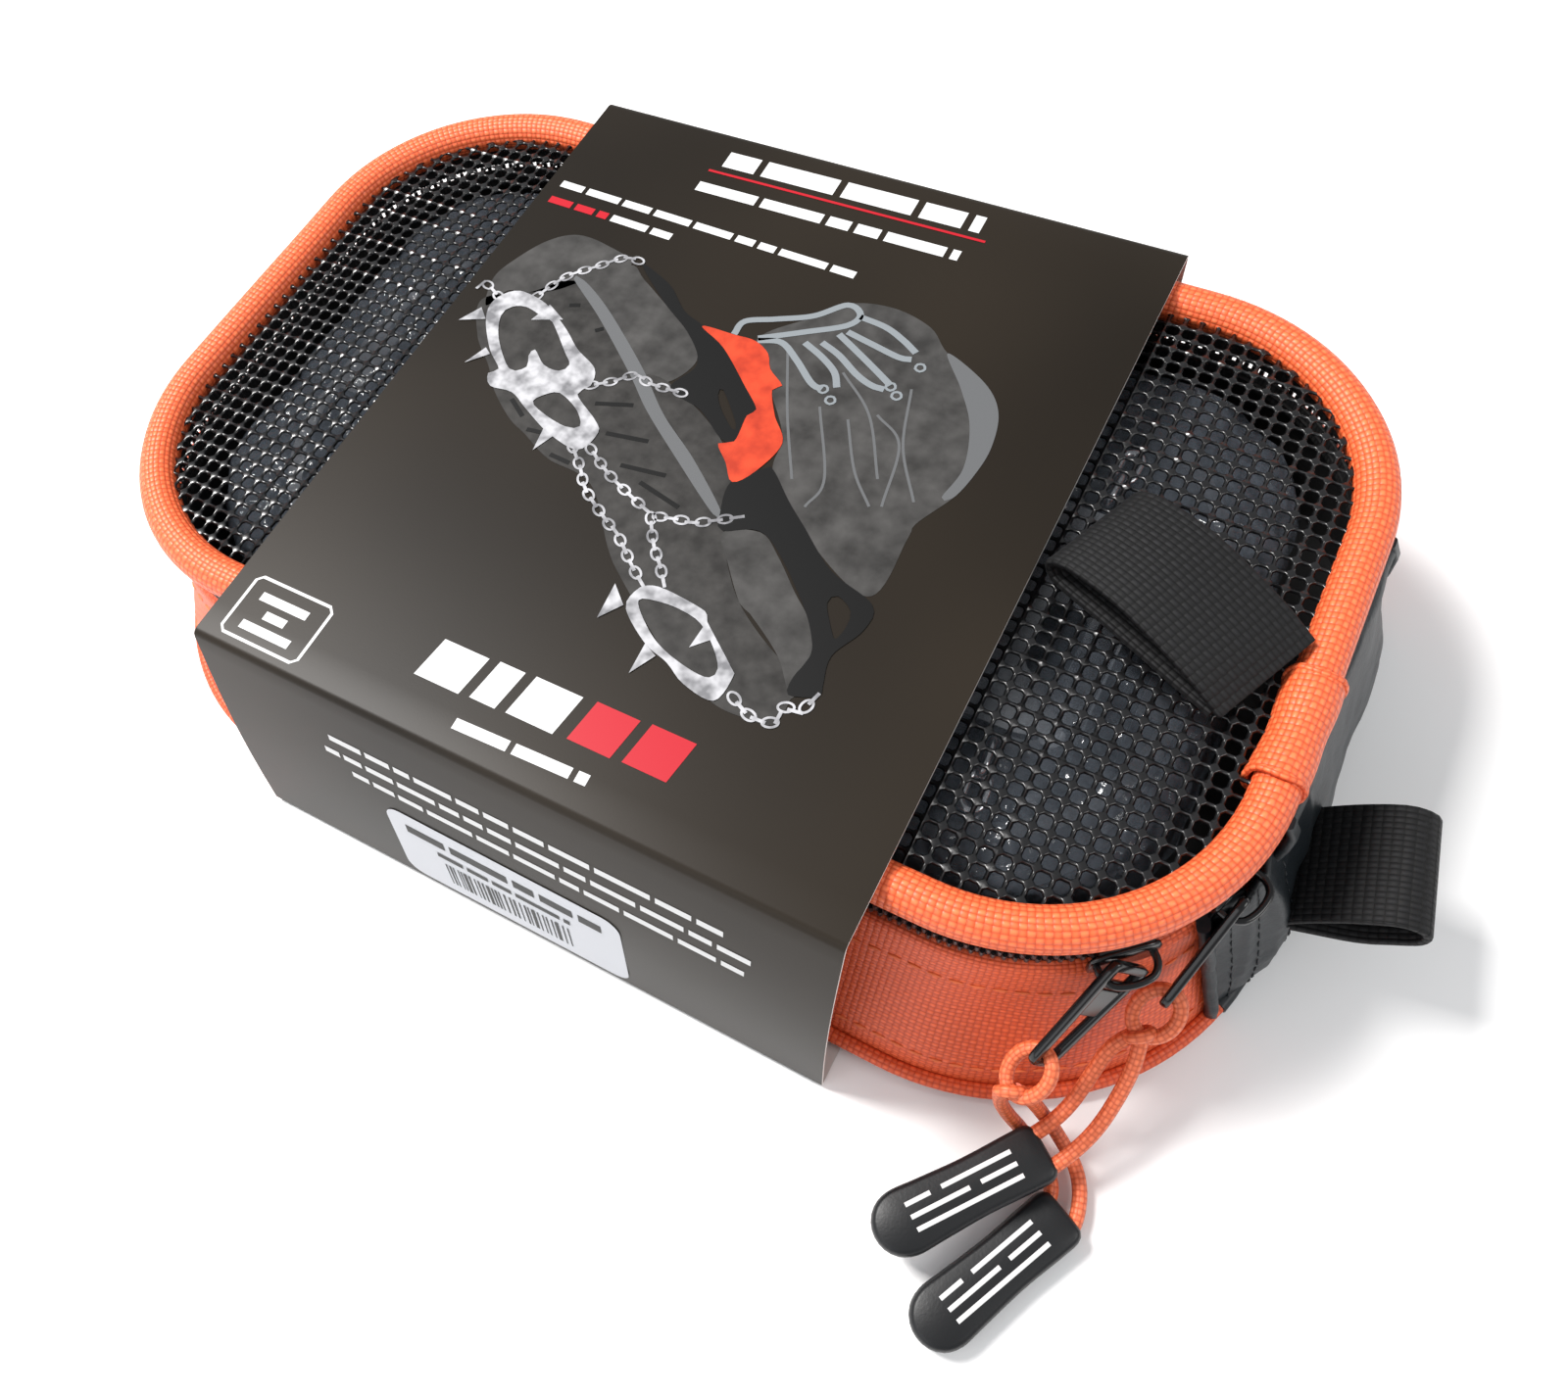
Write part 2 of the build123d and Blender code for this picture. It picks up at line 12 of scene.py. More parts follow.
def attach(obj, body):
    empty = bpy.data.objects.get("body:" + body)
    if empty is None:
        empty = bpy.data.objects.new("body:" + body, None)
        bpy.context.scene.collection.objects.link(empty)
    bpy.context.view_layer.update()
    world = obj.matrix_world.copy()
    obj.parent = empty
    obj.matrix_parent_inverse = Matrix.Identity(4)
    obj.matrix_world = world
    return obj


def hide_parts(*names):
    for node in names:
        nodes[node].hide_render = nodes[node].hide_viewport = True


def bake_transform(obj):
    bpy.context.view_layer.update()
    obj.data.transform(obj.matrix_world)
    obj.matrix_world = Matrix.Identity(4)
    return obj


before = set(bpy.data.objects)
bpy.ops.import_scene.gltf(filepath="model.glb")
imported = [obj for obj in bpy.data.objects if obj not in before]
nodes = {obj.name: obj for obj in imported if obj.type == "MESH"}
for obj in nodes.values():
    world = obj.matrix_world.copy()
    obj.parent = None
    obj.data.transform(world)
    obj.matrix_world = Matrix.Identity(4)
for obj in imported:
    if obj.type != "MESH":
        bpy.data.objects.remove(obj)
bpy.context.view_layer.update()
random.seed(4)

# ---- sizes shared with the CAD part, in millimetres --------------------------------------
CORNER = Vector((68.0, -24.5, 0.0))         # centre of the lid's front right corner
PIPING = 3.6
PIPING_Z = 47.0
ZIP_Z = 38.0
SLEEVE = (-63.0, 61.0)
SLEEVE_TOP = 52.1
SLEEVE_FRONT = ((-86.0, 0.0), (-75.5, SLEEVE_TOP))
SECTIONS = [
    (2.4, -115.0, 116.0, -76.5, 73.5, 48.0),
    (10.0, -114.0, 115.0, -74.5, 72.5, 47.0),
    (22.0, -110.5, 111.5, -68.5, 68.5, 43.5),
    (34.0, -109.5, 109.5, -65.4, 65.4, 41.0),
]
CORDS = {
    1: [(88.9, -76.6, 21.9), (87.4, -76.4, 19.2), (89.0, -76.9, 10.2), (94.2, -77.4, 3.0), (99.6, -80.8, 2.1),
        (101.9, -84.6, 2.3), (99.9, -88.7, 2.5), (104.8, -91.0, 2.5), (106.7, -86.9, 2.3),
        (104.8, -79.6, 2.0), (99.2, -75.2, 2.8), (93.8, -74.0, 10.2), (91.0, -75.2, 19.4),
        (89.8, -76.0, 22.2)],
    2: [(102.8, -59.3, 21.8), (100.2, -61.8, 19.8), (99.4, -66.8, 15.2), (98.4, -72.4, 11.4),
        (95.8, -77.4, 8.6), (92.8, -81.4, 7.7), (97.3, -84.4, 7.7), (100.4, -80.4, 8.2), (103.4, -74.0, 10.8),
        (104.4, -67.6, 15.0), (104.4, -62.6, 20.0),
        (103.6, -59.6, 21.8)],
}
TABS = {1: ((104.2, -85.8), (-0.429, -0.903), 0.3), 2: ((97.8, -79.3), (-0.599, -0.801), 5.5)}
SLIDERS = {1: -47.0, 2: -18.5}
PULLERS = {1: ((-5.4, -14.0, -10.6), -20.0), 2: ((-4.6, -18.6, -14.4), 0.0)}

# ---- the camera, fitted to the photo by a separate least-squares program -------------------
CAMERA_PLACE = (0.083513, -0.120473, 0.225798)      # metres
CAMERA_TURN = (28.146, 7.223, 29.007)                  # degrees about x, y and z
LENS = 28.62                                        # mm, on a 36 mm sensor
LENS_SHIFT = (0.0691, -0.0069)


# ---- materials ---------------------------------------------------------------------------
class Look:
    """One procedural material. Texture sizes are in millimetres."""

    def __init__(self, name, color, rough=0.5, metal=0.0, **more):
        self.m = bpy.data.materials.new(name)
        self.m.use_nodes = True
        self.t = self.m.node_tree
        self.p = self.t.nodes["Principled BSDF"]
        self.p.inputs["Base Color"].default_value = (*color, 1)
        self.p.inputs["Roughness"].default_value = rough
        self.p.inputs["Metallic"].default_value = metal
        for key, value in more.items():
            self.p.inputs[key.replace("_", " ")].default_value = value

    def node(self, kind, **inputs):
        n = self.t.nodes.new(kind)
        for key, value in inputs.items():
            self.put(n.inputs[key.replace("_", " ")], value)
        return n

    def put(self, socket, value):
        if isinstance(value, bpy.types.NodeSocket):
            self.t.links.new(value, socket)
        else:
            socket.default_value = value

    def calc(self, operation, a, b=0.0):
        n = self.t.nodes.new("ShaderNodeMath")
        n.operation = operation
        self.put(n.inputs[0], a)
        self.put(n.inputs[1], b)
        return n.outputs[0]

    def half(self, value):
        return self.calc("ADD", self.calc("MULTIPLY", value, 0.5), 0.5)

    def uv(self, width, height):
        parts = self.node("ShaderNodeSeparateXYZ", Vector=self.node("ShaderNodeUVMap").outputs[0])
        u = self.calc("DIVIDE", parts.outputs[0], width)
        return u, self.calc("DIVIDE", parts.outputs[1], height)

    def weave(self, width, height):
        """Height of a plain weave: yarns over and under by turns."""
        u, v = self.uv(width, height)
        cell = self.calc("ADD", self.calc("FLOOR", u), self.calc("FLOOR", v))
        over = self.calc("PINGPONG", cell, 1.0)
        wave_u = self.calc("SINE", self.calc("MULTIPLY", self.calc("FRACT", u), math.pi))
        wave_v = self.calc("SINE", self.calc("MULTIPLY", self.calc("FRACT", v), math.pi))
        warp = self.calc("MULTIPLY", self.half(self.calc("POWER", wave_u, 0.6)), self.half(wave_v))
        weft = self.calc("MULTIPLY", self.half(self.calc("POWER", wave_v, 0.6)), self.half(wave_u))
        weft = self.calc("MULTIPLY", weft, 0.72)
        under = self.calc("SUBTRACT", 1.0, over)
        return self.calc("ADD", self.calc("MULTIPLY", warp, over), self.calc("MULTIPLY", weft, under))

    def speckle(self, size, detail=2.0):
        place = self.node("ShaderNodeTexCoord").outputs["Object"]
        return self.node("ShaderNodeTexNoise", Vector=place, Scale=1000.0 / size, Detail=detail).outputs[0]

    def tint(self, factor, dark, light, low=0.0, high=1.0):
        ramp = self.node("ShaderNodeMapRange", Value=factor, From_Min=low, From_Max=high)
        mix = self.t.nodes.new("ShaderNodeMix")
        mix.data_type = "RGBA"
        self.put(mix.inputs[0], ramp.outputs[0])
        mix.inputs[6].default_value = (*dark, 1)
        mix.inputs[7].default_value = (*light, 1)
        self.put(self.p.inputs["Base Color"], mix.outputs[2])
        return self

    def bump(self, height, depth, strength=1.0):
        n = self.node("ShaderNodeBump", Height=height, Distance=depth / 1000.0, Strength=strength)
        self.put(self.p.inputs["Normal"], n.outputs[0])
        return self


def woven(name, dark, light, pitch, depth, rough=0.6, **more):
    look = Look(name, light, rough, **more)
    height = look.weave(*pitch)
    # the tint paints shade into the weave's hollows and highlights on the yarn crowns: dark where the yarns dip,
    # light where they stand up
    look.tint(height, dark, light, 0.3, 0.95)
    return look.bump(height, depth)


# in each woven cloth the dark colour is painted shade in the weave's hollows and the light colour is painted
# highlight on the yarn crowns
GUSSET_CLOTH = woven("gusset_cloth", (0.52, 0.05, 0.009), (0.84, 0.135, 0.04), (1.1, 0.9), 0.2, 0.5)
PIPING_CLOTH = woven("piping_cloth", (0.6, 0.065, 0.012), (0.95, 0.19, 0.065), (1.15, 1.0), 0.26, 0.45)
WEBBING = woven("black_webbing", (0.0012, 0.0012, 0.0012), (0.008, 0.008, 0.009), (1.5, 1.0), 0.35, 0.7,
                Specular_IOR_Level=0.3)
TAPE = woven("zip_tape_cloth", (0.003, 0.003, 0.003), (0.018, 0.018, 0.019), (0.9, 2.4), 0.2, 0.7)
CORD = woven("orange_cord", (0.5, 0.075, 0.02), (0.82, 0.19, 0.075), (0.95, 0.8), 0.16, 0.5)
PANEL = Look("panel_cloth", (0.009, 0.0125, 0.0155), 0.45, Specular_IOR_Level=0.4)
PANEL.bump(PANEL.speckle(1.1, 6), 0.25, 0.5)
LINING = Look("black_lining", (0.006, 0.006, 0.0065), 0.7)
THREAD = Look("orange_thread", (0.75, 0.16, 0.05), 0.6)
MESH = Look("mesh_vinyl", (0.006, 0.006, 0.0065), 0.25, Specular_IOR_Level=0.5)
TEETH = Look("zip_teeth", (0.012, 0.012, 0.013), 0.3)
ENAMEL = Look("slider_enamel", (0.004, 0.004, 0.0045), 0.2, Specular_IOR_Level=0.45)
STOP = Look("stop_metal", (0.02, 0.02, 0.022), 0.3, 0.8)
RUBBER = Look("tab_rubber", (0.006, 0.0065, 0.0075), 0.42, Specular_IOR_Level=0.35)
RUBBER.bump(RUBBER.speckle(0.5, 2), 0.04, 0.5)
STEEL = Look("plate_steel", (0.55, 0.56, 0.58), 0.24, 1.0)
LINKS = Look("chain_steel", (0.62, 0.62, 0.64), 0.18, 1.0)
ELASTOMER = Look("harness_elastomer", (0.012, 0.012, 0.013), 0.45)
RED = Look("strap_fabric", (0.45, 0.03, 0.012), 0.7)
RED.bump(RED.speckle(0.8, 3), 0.2)
# the film's pale blue-grey colour, seen at alpha 0.22, is painted sheen standing in for glints off the clear
# plastic
FILM = Look("clear_film", (0.26, 0.3, 0.36), 0.1, Alpha=0.22, Specular_IOR_Level=1.0)
FILM.bump(FILM.speckle(10, 3), 5.0, 1.0)
CARD = Look("printed_card", (0.02, 0.016, 0.012), 0.4, Specular_IOR_Level=0.16)
CARD.tint(CARD.speckle(70, 1), (0.0105, 0.0078, 0.0052), (0.0185, 0.0138, 0.0092), 0.35, 0.65)
CARD.bump(CARD.speckle(0.35, 2), 0.012, 0.4)
EDGE = Look("card_edge", (0.75, 0.74, 0.72), 0.8)
BACKING = Look("card_back", (0.55, 0.54, 0.52), 0.8)
PAPER = Look("label_paper", (0.5, 0.51, 0.54), 0.55)
BOOT = Look("print_boot", (0.085, 0.082, 0.08), 0.4)
BOOT.tint(BOOT.speckle(5, 5), (0.026, 0.025, 0.024), (0.066, 0.064, 0.062), 0.3, 0.7)
BOOT_DARK = Look("print_boot_dark", (0.045, 0.042, 0.04), 0.4)
BOOT_DARK.tint(BOOT_DARK.speckle(3, 5), (0.018, 0.017, 0.016), (0.042, 0.04, 0.038), 0.3, 0.7)
BOOT_LIGHT = Look("print_boot_light", (0.105, 0.108, 0.112), 0.4)
LACE = Look("print_lace", (0.2, 0.22, 0.235), 0.4)
PRINT_STEEL = Look("print_steel", (0.5, 0.5, 0.52), 0.35)
PRINT_STEEL.tint(PRINT_STEEL.speckle(3, 2), (0.16, 0.16, 0.17), (0.46, 0.46, 0.48), 0.35, 0.65)
PRINT_DARK = Look("print_black", (0.004, 0.004, 0.004), 0.4)
PRINT_RED = Look("print_strap", (0.62, 0.05, 0.018), 0.42)
PRINT_RED.tint(PRINT_RED.speckle(4, 3), (0.36, 0.03, 0.012), (0.55, 0.055, 0.02), 0.35, 0.65)
INK_WHITE = Look("print_white", (0.6, 0.6, 0.6), 0.5)
INK_RED = Look("print_red", (0.42, 0.01, 0.02), 0.45)
INK_BLACK = Look("label_black", (0.012, 0.012, 0.012), 0.6)


# ---- shapes ------------------------------------------------------------------------------
def build(name, verts, faces, looks, body, uvs=None, smooth=True, face_looks=None):
    """A mesh from points in millimetres, with one UV per vertex in millimetres."""
    mesh = bpy.data.meshes.new(name)
    mesh.from_pydata([tuple(c / 1000.0 for c in p) for p in verts], [], faces)
    looks = looks if isinstance(looks, list) else [looks]
    for look in looks:
        mesh.materials.append(look.m)
    if uvs:
        layer = mesh.uv_layers.new(name="UVMap")
        for loop in mesh.loops:
            layer.data[loop.index].uv = uvs[loop.vertex_index]
    mesh.polygons.foreach_set("use_smooth", [smooth] * len(faces))
    if face_looks:
        mesh.polygons.foreach_set("material_index", face_looks)
    mesh.update()
    piece = bpy.data.objects.new(name, mesh)
    bpy.context.collection.objects.link(piece)
    if body:
        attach(piece, body)
    return piece


class Parts:
    """Collects several surfaces into one mesh."""

    def __init__(self):
        self.verts, self.faces, self.uvs, self.marks = [], [], [], []

    def add(self, verts, faces, uvs=None, mark=0):
        base = len(self.verts)
        self.verts += [tuple(p) for p in verts]
        self.uvs += uvs or [(p[0], p[1]) for p in verts]
        self.faces += [tuple(i + base for i in f) for f in faces]
        self.marks += [mark] * len(faces)

    def rows(self, rows, uvs, mark=0):
        across = len(rows[0])
        faces = [
            (i * across + j, i * across + j + 1, (i + 1) * across + j + 1, (i + 1) * across + j)
            for i in range(len(rows) - 1)
            for j in range(across - 1)
        ]
        self.add([p for row in rows for p in row], faces, [u for row in uvs for u in row], mark)

    def done(self, name, looks, body, smooth=True):
        return build(name, self.verts, self.faces, looks, body, self.uvs, smooth, self.marks)


def stands_for(node):
    """Hides the CAD node that a piece replaces."""
    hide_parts(node)


def lengths(points):
    """How far along its line each point is."""
    run = [0.0]
    for a, b in zip(points, points[1:]):
        run.append(run[-1] + (Vector(b) - Vector(a)).length)
    return run


def curve(points, step=1.0, closed=False):
    """A smooth run of points through the given ones."""
    pts = [Vector(p) for p in points]
    count = len(pts)
    out = []
    for i in range(count if closed else count - 1):
        if closed:
            a, b, c, d = (pts[(i + k) % count] for k in (-1, 0, 1, 2))
        else:
            b, c = pts[i], pts[i + 1]
            a = pts[i - 1] if i else b * 2 - c
            d = pts[i + 2] if i + 2 < count else c * 2 - b
        n = max(2, int((c - b).length / step))
        for k in range(n):
            t = k / n
            out.append(0.5 * (2 * b + (c - a) * t + (2 * a - 5 * b + 4 * c - d) * t * t
                              + (3 * b - a - 3 * c + d) * t ** 3))
    if not closed:
        out.append(pts[-1].copy())
    return out


def round_section(radius, sides=16, squash=1.0):
    return [(radius * math.cos(math.tau * k / sides), squash * radius * math.sin(math.tau * k / sides))
            for k in range(sides + 1)]


def box_section(width, height, r, arc=3):
    """A rectangle with rounded corners, closed, first point repeated."""
    out = []
    for k, (sx, sy) in enumerate(((1, 1), (-1, 1), (-1, -1), (1, -1))):
        for j in range(arc + 1):
            a = math.pi / 2 * (k + j / arc)
            out.append((sx * (width / 2 - r) + r * math.cos(a), sy * (height / 2 - r) + r * math.sin(a)))
    return out + [out[0]]


def sweep(parts, path, section, up=None, across=None, closed=False, caps=True, mark=0, scale=None):
    """Carries a section along a path. up fixes its second axis, across its first."""
    path = [Vector(p) for p in path]
    if closed:
        path = path + [path[0]]
    run = lengths(path)
    around = lengths([(*p, 0) for p in section])
    last = len(path) - 1
    rows, uvs = [], []
    side = None
    for i, p in enumerate(path):
        before = path[i - 1] if i else (path[last - 1] if closed else p)
        after = path[i + 1] if i < last else (path[1] if closed else p)
        ahead = (after - before).normalized()
        if across is not None:
            side = Vector(across)
        elif up is not None:
            side = Vector(up).cross(ahead).normalized()
        elif side is None:
            side = ahead.orthogonal().normalized()
        else:
            side = (side - ahead * side.dot(ahead)).normalized()
        top = ahead.cross(side)
        k = scale(i / last) if scale else 1.0
        rows.append([p + side * (a * k) + top * (b * k) for a, b in section])
        uvs.append([(run[i], w) for w in around])
    parts.rows(rows, uvs, mark)
    if caps and not closed:
        n = len(section) - 1
        for row, flip in ((rows[0], True), (rows[-1], False)):
            face = list(range(n))
            parts.add(row[:n], [face if flip else face[::-1]], [(0, 0)] * n, mark)


def tube(name, path, radius, look, body, **more):
    parts = Parts()
    sweep(parts, path, round_section(radius), **more)
    return parts.done(name, look, body)


def outline(left, right, front, back, r, sides=44, arc=26):
    """A rounded rectangle from the middle of the back, running to the left, front and right."""
    out = []
    corners = (((left + r, back - r), 90), ((left + r, front + r), 180),
               ((right - r, front + r), 270), ((right - r, back - r), 0))
    for (cx, cy), start in corners:
        for k in range(arc + 1):
            a = math.radians(start + 90 * k / arc)
            out.append(Vector((cx + r * math.cos(a), cy + r * math.sin(a), 0)))
    middle = Vector(((left + right) / 2, back, 0))
    whole = [middle] + out + [middle]
    dense = []
    for i, (a, b) in enumerate(zip(whole, whole[1:])):
        n = sides if i % (arc + 1) == 0 else 1
        dense += [a.lerp(b, k / n) for k in range(n)]
    return dense + [middle]


def polar(radius, angle, z=0.0):
    a = math.radians(angle)
    return Vector((CORNER.x + radius * math.cos(a), CORNER.y + radius * math.sin(a), z))


def wrinkle(p, size, seed=0.0):
    return noise.noise(Vector(p) / size + Vector((seed, seed, seed)))


def stitches(parts, path, radius=0.28, length=2.3, gap=1.1):
    """A row of thread, each stitch a small rounded bead along the path."""
    run = lengths(path)
    at = gap
    while at + length < run[-1]:
        ends = []
        for want in (at, at + length / 2, at + length):
            i = max(k for k in range(len(run)) if run[k] <= want)
            i = min(i, len(run) - 2)
            t = (want - run[i]) / max(run[i + 1] - run[i], 1e-6)
            ends.append(Vector(path[i]).lerp(Vector(path[i + 1]), t))
        sweep(parts, ends, round_section(radius, 6), caps=False,
              scale=lambda t: 1.0 if t == 0.5 else 0.3)
        at += length + gap


# ---- case: gusset, end panel, hem, zip ----------------------------------------------------
def outward(points):
    """The level normal at each point of a run that turns anticlockwise."""
    out = []
    for i in range(len(points)):
        d = points[min(i + 1, len(points) - 1)] - points[max(i - 1, 0)]
        out.append(Vector((d.y, -d.x, 0)).normalized())
    return out


def make_gusset():
    profile = curve(SECTIONS, 1.3)
    levels = [tuple(p) for p in profile]
    z, left, right, front, back, r = levels[-1]
    levels += [(z + dz, left + d, right - d, front + d, back - d, r - d)
               for dz, d in ((0.9, 0.4), (1.3, 1.2), (1.2, 2.6))]
    reference = lengths(outline(*levels[len(levels) // 2][1:]))
    rows, uvs, climb = [], [], 0.0
    for k, (z, *rest) in enumerate(levels):
        points = outline(*rest)
        if k:
            climb += 1.3
        row = []
        for p, n in zip(points, outward(points)):
            p = Vector((p.x, p.y, z))
            soft = math.sin(math.pi * min(1, max(0, (z - 2.4) / 31)))
            push = (1.5 * wrinkle(p, 34) + 0.7 * wrinkle((p.x, p.y, z * 0.5), 11, 5)) * soft
            row.append(p + n * push)
        rows.append(row)
        uvs.append([(u, climb) for u in reference])
    parts = Parts()
    parts.rows(rows, uvs)
    lining = [[p - n * 0.9 for p, n in zip(row, outward(row))] for row in rows]
    parts.rows(lining[::-1], uvs, 1)
    piece = parts.done("case_gusset", [GUSSET_CLOTH, LINING], "case")
    stands_for("side_gusset")
    seams = Parts()
    for k in (5, 22):
        row, out = rows[k], outward(rows[k])
        stitches(seams, [p + n * 0.15 for p, n in zip(row, out)])
    thread = seams.done("gusset_stitching", THREAD, "case")


def make_hem():
    z, left, right, front, back, r = SECTIONS[0]
    path = outline(left - 0.9, right + 0.9, front - 0.9, back + 0.9, r + 0.9)[:-1]
    path = [Vector((p.x, p.y, z + 0.15 * wrinkle(p, 20))) for p in path]
    dark = [p.x > 107 and -44 < p.y < 46 for p in path]
    first, last = dark.index(True), len(dark) - 1 - dark[::-1].index(True)
    parts = Parts()
    sweep(parts, path[last:] + path[:first + 1], box_section(2.8, 2.3, 1.1), up=(0, 0, 1))
    sweep(parts, path[first:last + 1], box_section(3.4, 2.5, 1.1), up=(0, 0, 1), mark=1)
    piece = parts.done("case_hem", [GUSSET_CLOTH, PANEL], "case")
    stands_for("base_hem")


def panel_row(z, lift):
    """One level of the end panel, from its front edge round to its back edge."""
    level = min(curve(SECTIONS, 0.6), key=lambda row: abs(row[0] - z))
    _, _, right, front, back, r = level
    if z > 34:
        inset = (z - 34) * 0.3
        right, front, back = right - inset, front + inset, back - inset
    first = -19.0 - 9.0 * (z - 2.4) / 32
    points = []
    swell = 4.2 * math.sin(math.pi * min(1, max(0, (z + 6) / 44))) ** 0.8
    for k in range(40):
        a = math.radians(first * (1 - k / 39))
        far = r + lift + swell * min(1, k / 26) ** 1.5
        points.append(Vector((right - r + far * math.cos(a), front + r + far * math.sin(a), z)))
    for k in range(1, 40):
        points.append(Vector((right + lift + swell, front + r + (back - front - 2 * r) * k / 39, z)))
    for k in range(1, 30):
        a = math.radians(21.0 * k / 29)
        far = r + lift + swell * (1 - min(1, k / 26) ** 1.5)
        points.append(Vector((right - r + far * math.cos(a), back - r + far * math.sin(a), z)))
    return points


def pleat(s, z):
    """How far the end panel's gathers stand out, s along from its front edge."""
    high = min(1.0, max(0.0, (z - 4) / 26))
    out = 0.0
    for at, lean, width, height in ((7.5, 0.12, 1.3, 1.0), (15.5, -0.2, 2.0, 1.5), (27.0, 0.1, 2.8, 1.0)):
        out += height * high * math.exp(-(((s - at - lean * (z - 20)) / width) ** 2))
    return out


def make_end_panel():
    rows, uvs = [], []
    for k in range(30):
        z = 2.0 + 34.2 * k / 29
        points = panel_row(z, 0.95)
        run = lengths(points)
        row = [p + n * (pleat(u, z) + 0.9 * wrinkle(p, 15, 9) + 0.35 * wrinkle(p, 5, 2))
               for p, n, u in zip(points, outward(points), run)]
        rows.append(row)
        uvs.append([(u, z) for u in run])
    parts = Parts()
    parts.rows(rows, uvs)
    piece = parts.done("end_panel", PANEL, "case")
    solid = piece.modifiers.new("cloth", "SOLIDIFY")
    solid.thickness, solid.offset = 0.0009, -1.0
    stands_for("end_panel_lower")
    bound = Parts()
    for end in (0, -1):
        edge = [row[end] for row in rows]
        sweep(bound, edge, box_section(3.4, 2.2, 0.9), across=(0.35, -0.94 if end == 0 else 0.94, 0))
    for s_index in (9, 19, 34):
        line = [row[s_index] + outward(row)[s_index] * 0.12 for row in rows]
        stitches(bound, line, 0.22, 2.0, 0.9)
    trim = bound.done("end_panel_binding", PANEL, "case")
    # the flap that crosses the hinge, up over the outside of the piping
    rows, uvs = [], []
    for k in range(14):
        z = 34.0 + 11.2 * k / 13
        row = []
        for j in range(41):
            y = -27.0 + 54.0 * j / 40
            tuck = 2.2 * max(0.0, (z - 43) / 2.2) ** 2
            p = Vector((111.15 - tuck + 0.5 * wrinkle((3, y, z), 9, 4), y, z))
            row.append(p)
        rows.append(row)
        uvs.append([(p.y, z) for p in row])
    parts = Parts()
    parts.rows(rows, uvs)
    for y in (-27.2, 27.2):
        sweep(parts, [(111.0, y, 33.5), (111.3, y, 38), (111.1, y, 42), (109.6, y, 45)],
              box_section(1.5, 2.6, 0.6), across=(1, 0, 0))
    flap = parts.done("end_flap", PANEL, None)
    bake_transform(flap)
    stands_for("end_panel_upper")


def zip_runs(radius_in=3.5):
    """The two ends-to-ends of the zip line: it stops each side of the hinge."""
    path = outline(-110 + radius_in, 110 - radius_in, -66.5 + radius_in, 66.5 - radius_in, 42 - radius_in)
    closed = [not (p.x > 98 and abs(p.y) < 26.4) for p in path]
    first = closed.index(False)
    last = len(closed) - 1 - closed[::-1].index(False)
    return path[:first], path[last + 1:]


def make_zip():
    for name, body, middle, tall, tooth, shift in (("lower", "case", 35.15, 4.3, 37.05, 0.0),
                                                   ("upper", "lid", 40.55, 3.7, 38.95, 0.8)):
        parts, teeth = Parts(), Parts()
        for run in zip_runs():
            path = [Vector((p.x, p.y, middle)) for p in run]
            sweep(parts, path, box_section(0.6, tall, 0.2), up=(0, 0, 1))
            along, out = lengths(run), outward(run)
            at = 0.8 + shift
            i = 0
            while at < along[-1]:
                while along[i + 1] < at:
                    i += 1
                t = (at - along[i]) / max(along[i + 1] - along[i], 1e-6)
                p = run[i].lerp(run[i + 1], t) + out[i] * 0.85
                core = [p + Vector((0, 0, tooth - 0.85 + 1.7 * k)) for k in (0, 0.5, 1)]
                sweep(teeth, core, box_section(1.15, 0.95, 0.3, 1), across=out[i],
                      scale=lambda t: 1.0 if t == 0.5 else 0.82)
                at += 1.6
        tape = parts.done(f"zip_tape_{name}_cloth", TAPE, body)
        stands_for(f"zip_tape_{name}")
        chain = teeth.done(f"zip_teeth_{name}", TEETH, body)
        stands_for(f"zip_coil_{name}")


# ---- lid: piping, cover, mesh -------------------------------------------------------------
def make_lid():
    path = outline(-106.0, 106.0, -62.5, 62.5, 38.0)[:-1]
    path = [Vector((p.x, p.y, PIPING_Z + 0.25 * wrinkle(p, 30, 3))) for p in path]
    parts = Parts()
    sweep(parts, path, round_section(PIPING, 26), up=(0, 0, 1), closed=True)
    piping = parts.done("piping_cloth_tube", PIPING_CLOTH, "lid")
    stands_for("lid_piping")
    parts = Parts()
    cover = curve([(106.0, -4.6, PIPING_Z), (106.05, -10, PIPING_Z), (106.0, -17, PIPING_Z),
                   (105.6, -23.4, PIPING_Z)], 0.7)
    sweep(parts, cover, round_section(4.35, 26), up=(0, 0, 1), caps=False,
          scale=lambda t: 1.0 + 0.035 * math.sin(9 * t) + (0.05 if t > 0.93 else 0))
    for at in (0, -1):
        lip = [cover[at] + Vector((4.2 * math.cos(a), 0.35 * math.sin(3 * a), 4.2 * math.sin(a)))
               for a in [math.tau * k / 30 for k in range(30)]]
        sweep(parts, lip, round_section(0.55, 8), closed=True)
    piece = parts.done("piping_cover_cloth", PIPING_CLOTH, "lid")
    stands_for("piping_joint_cover")


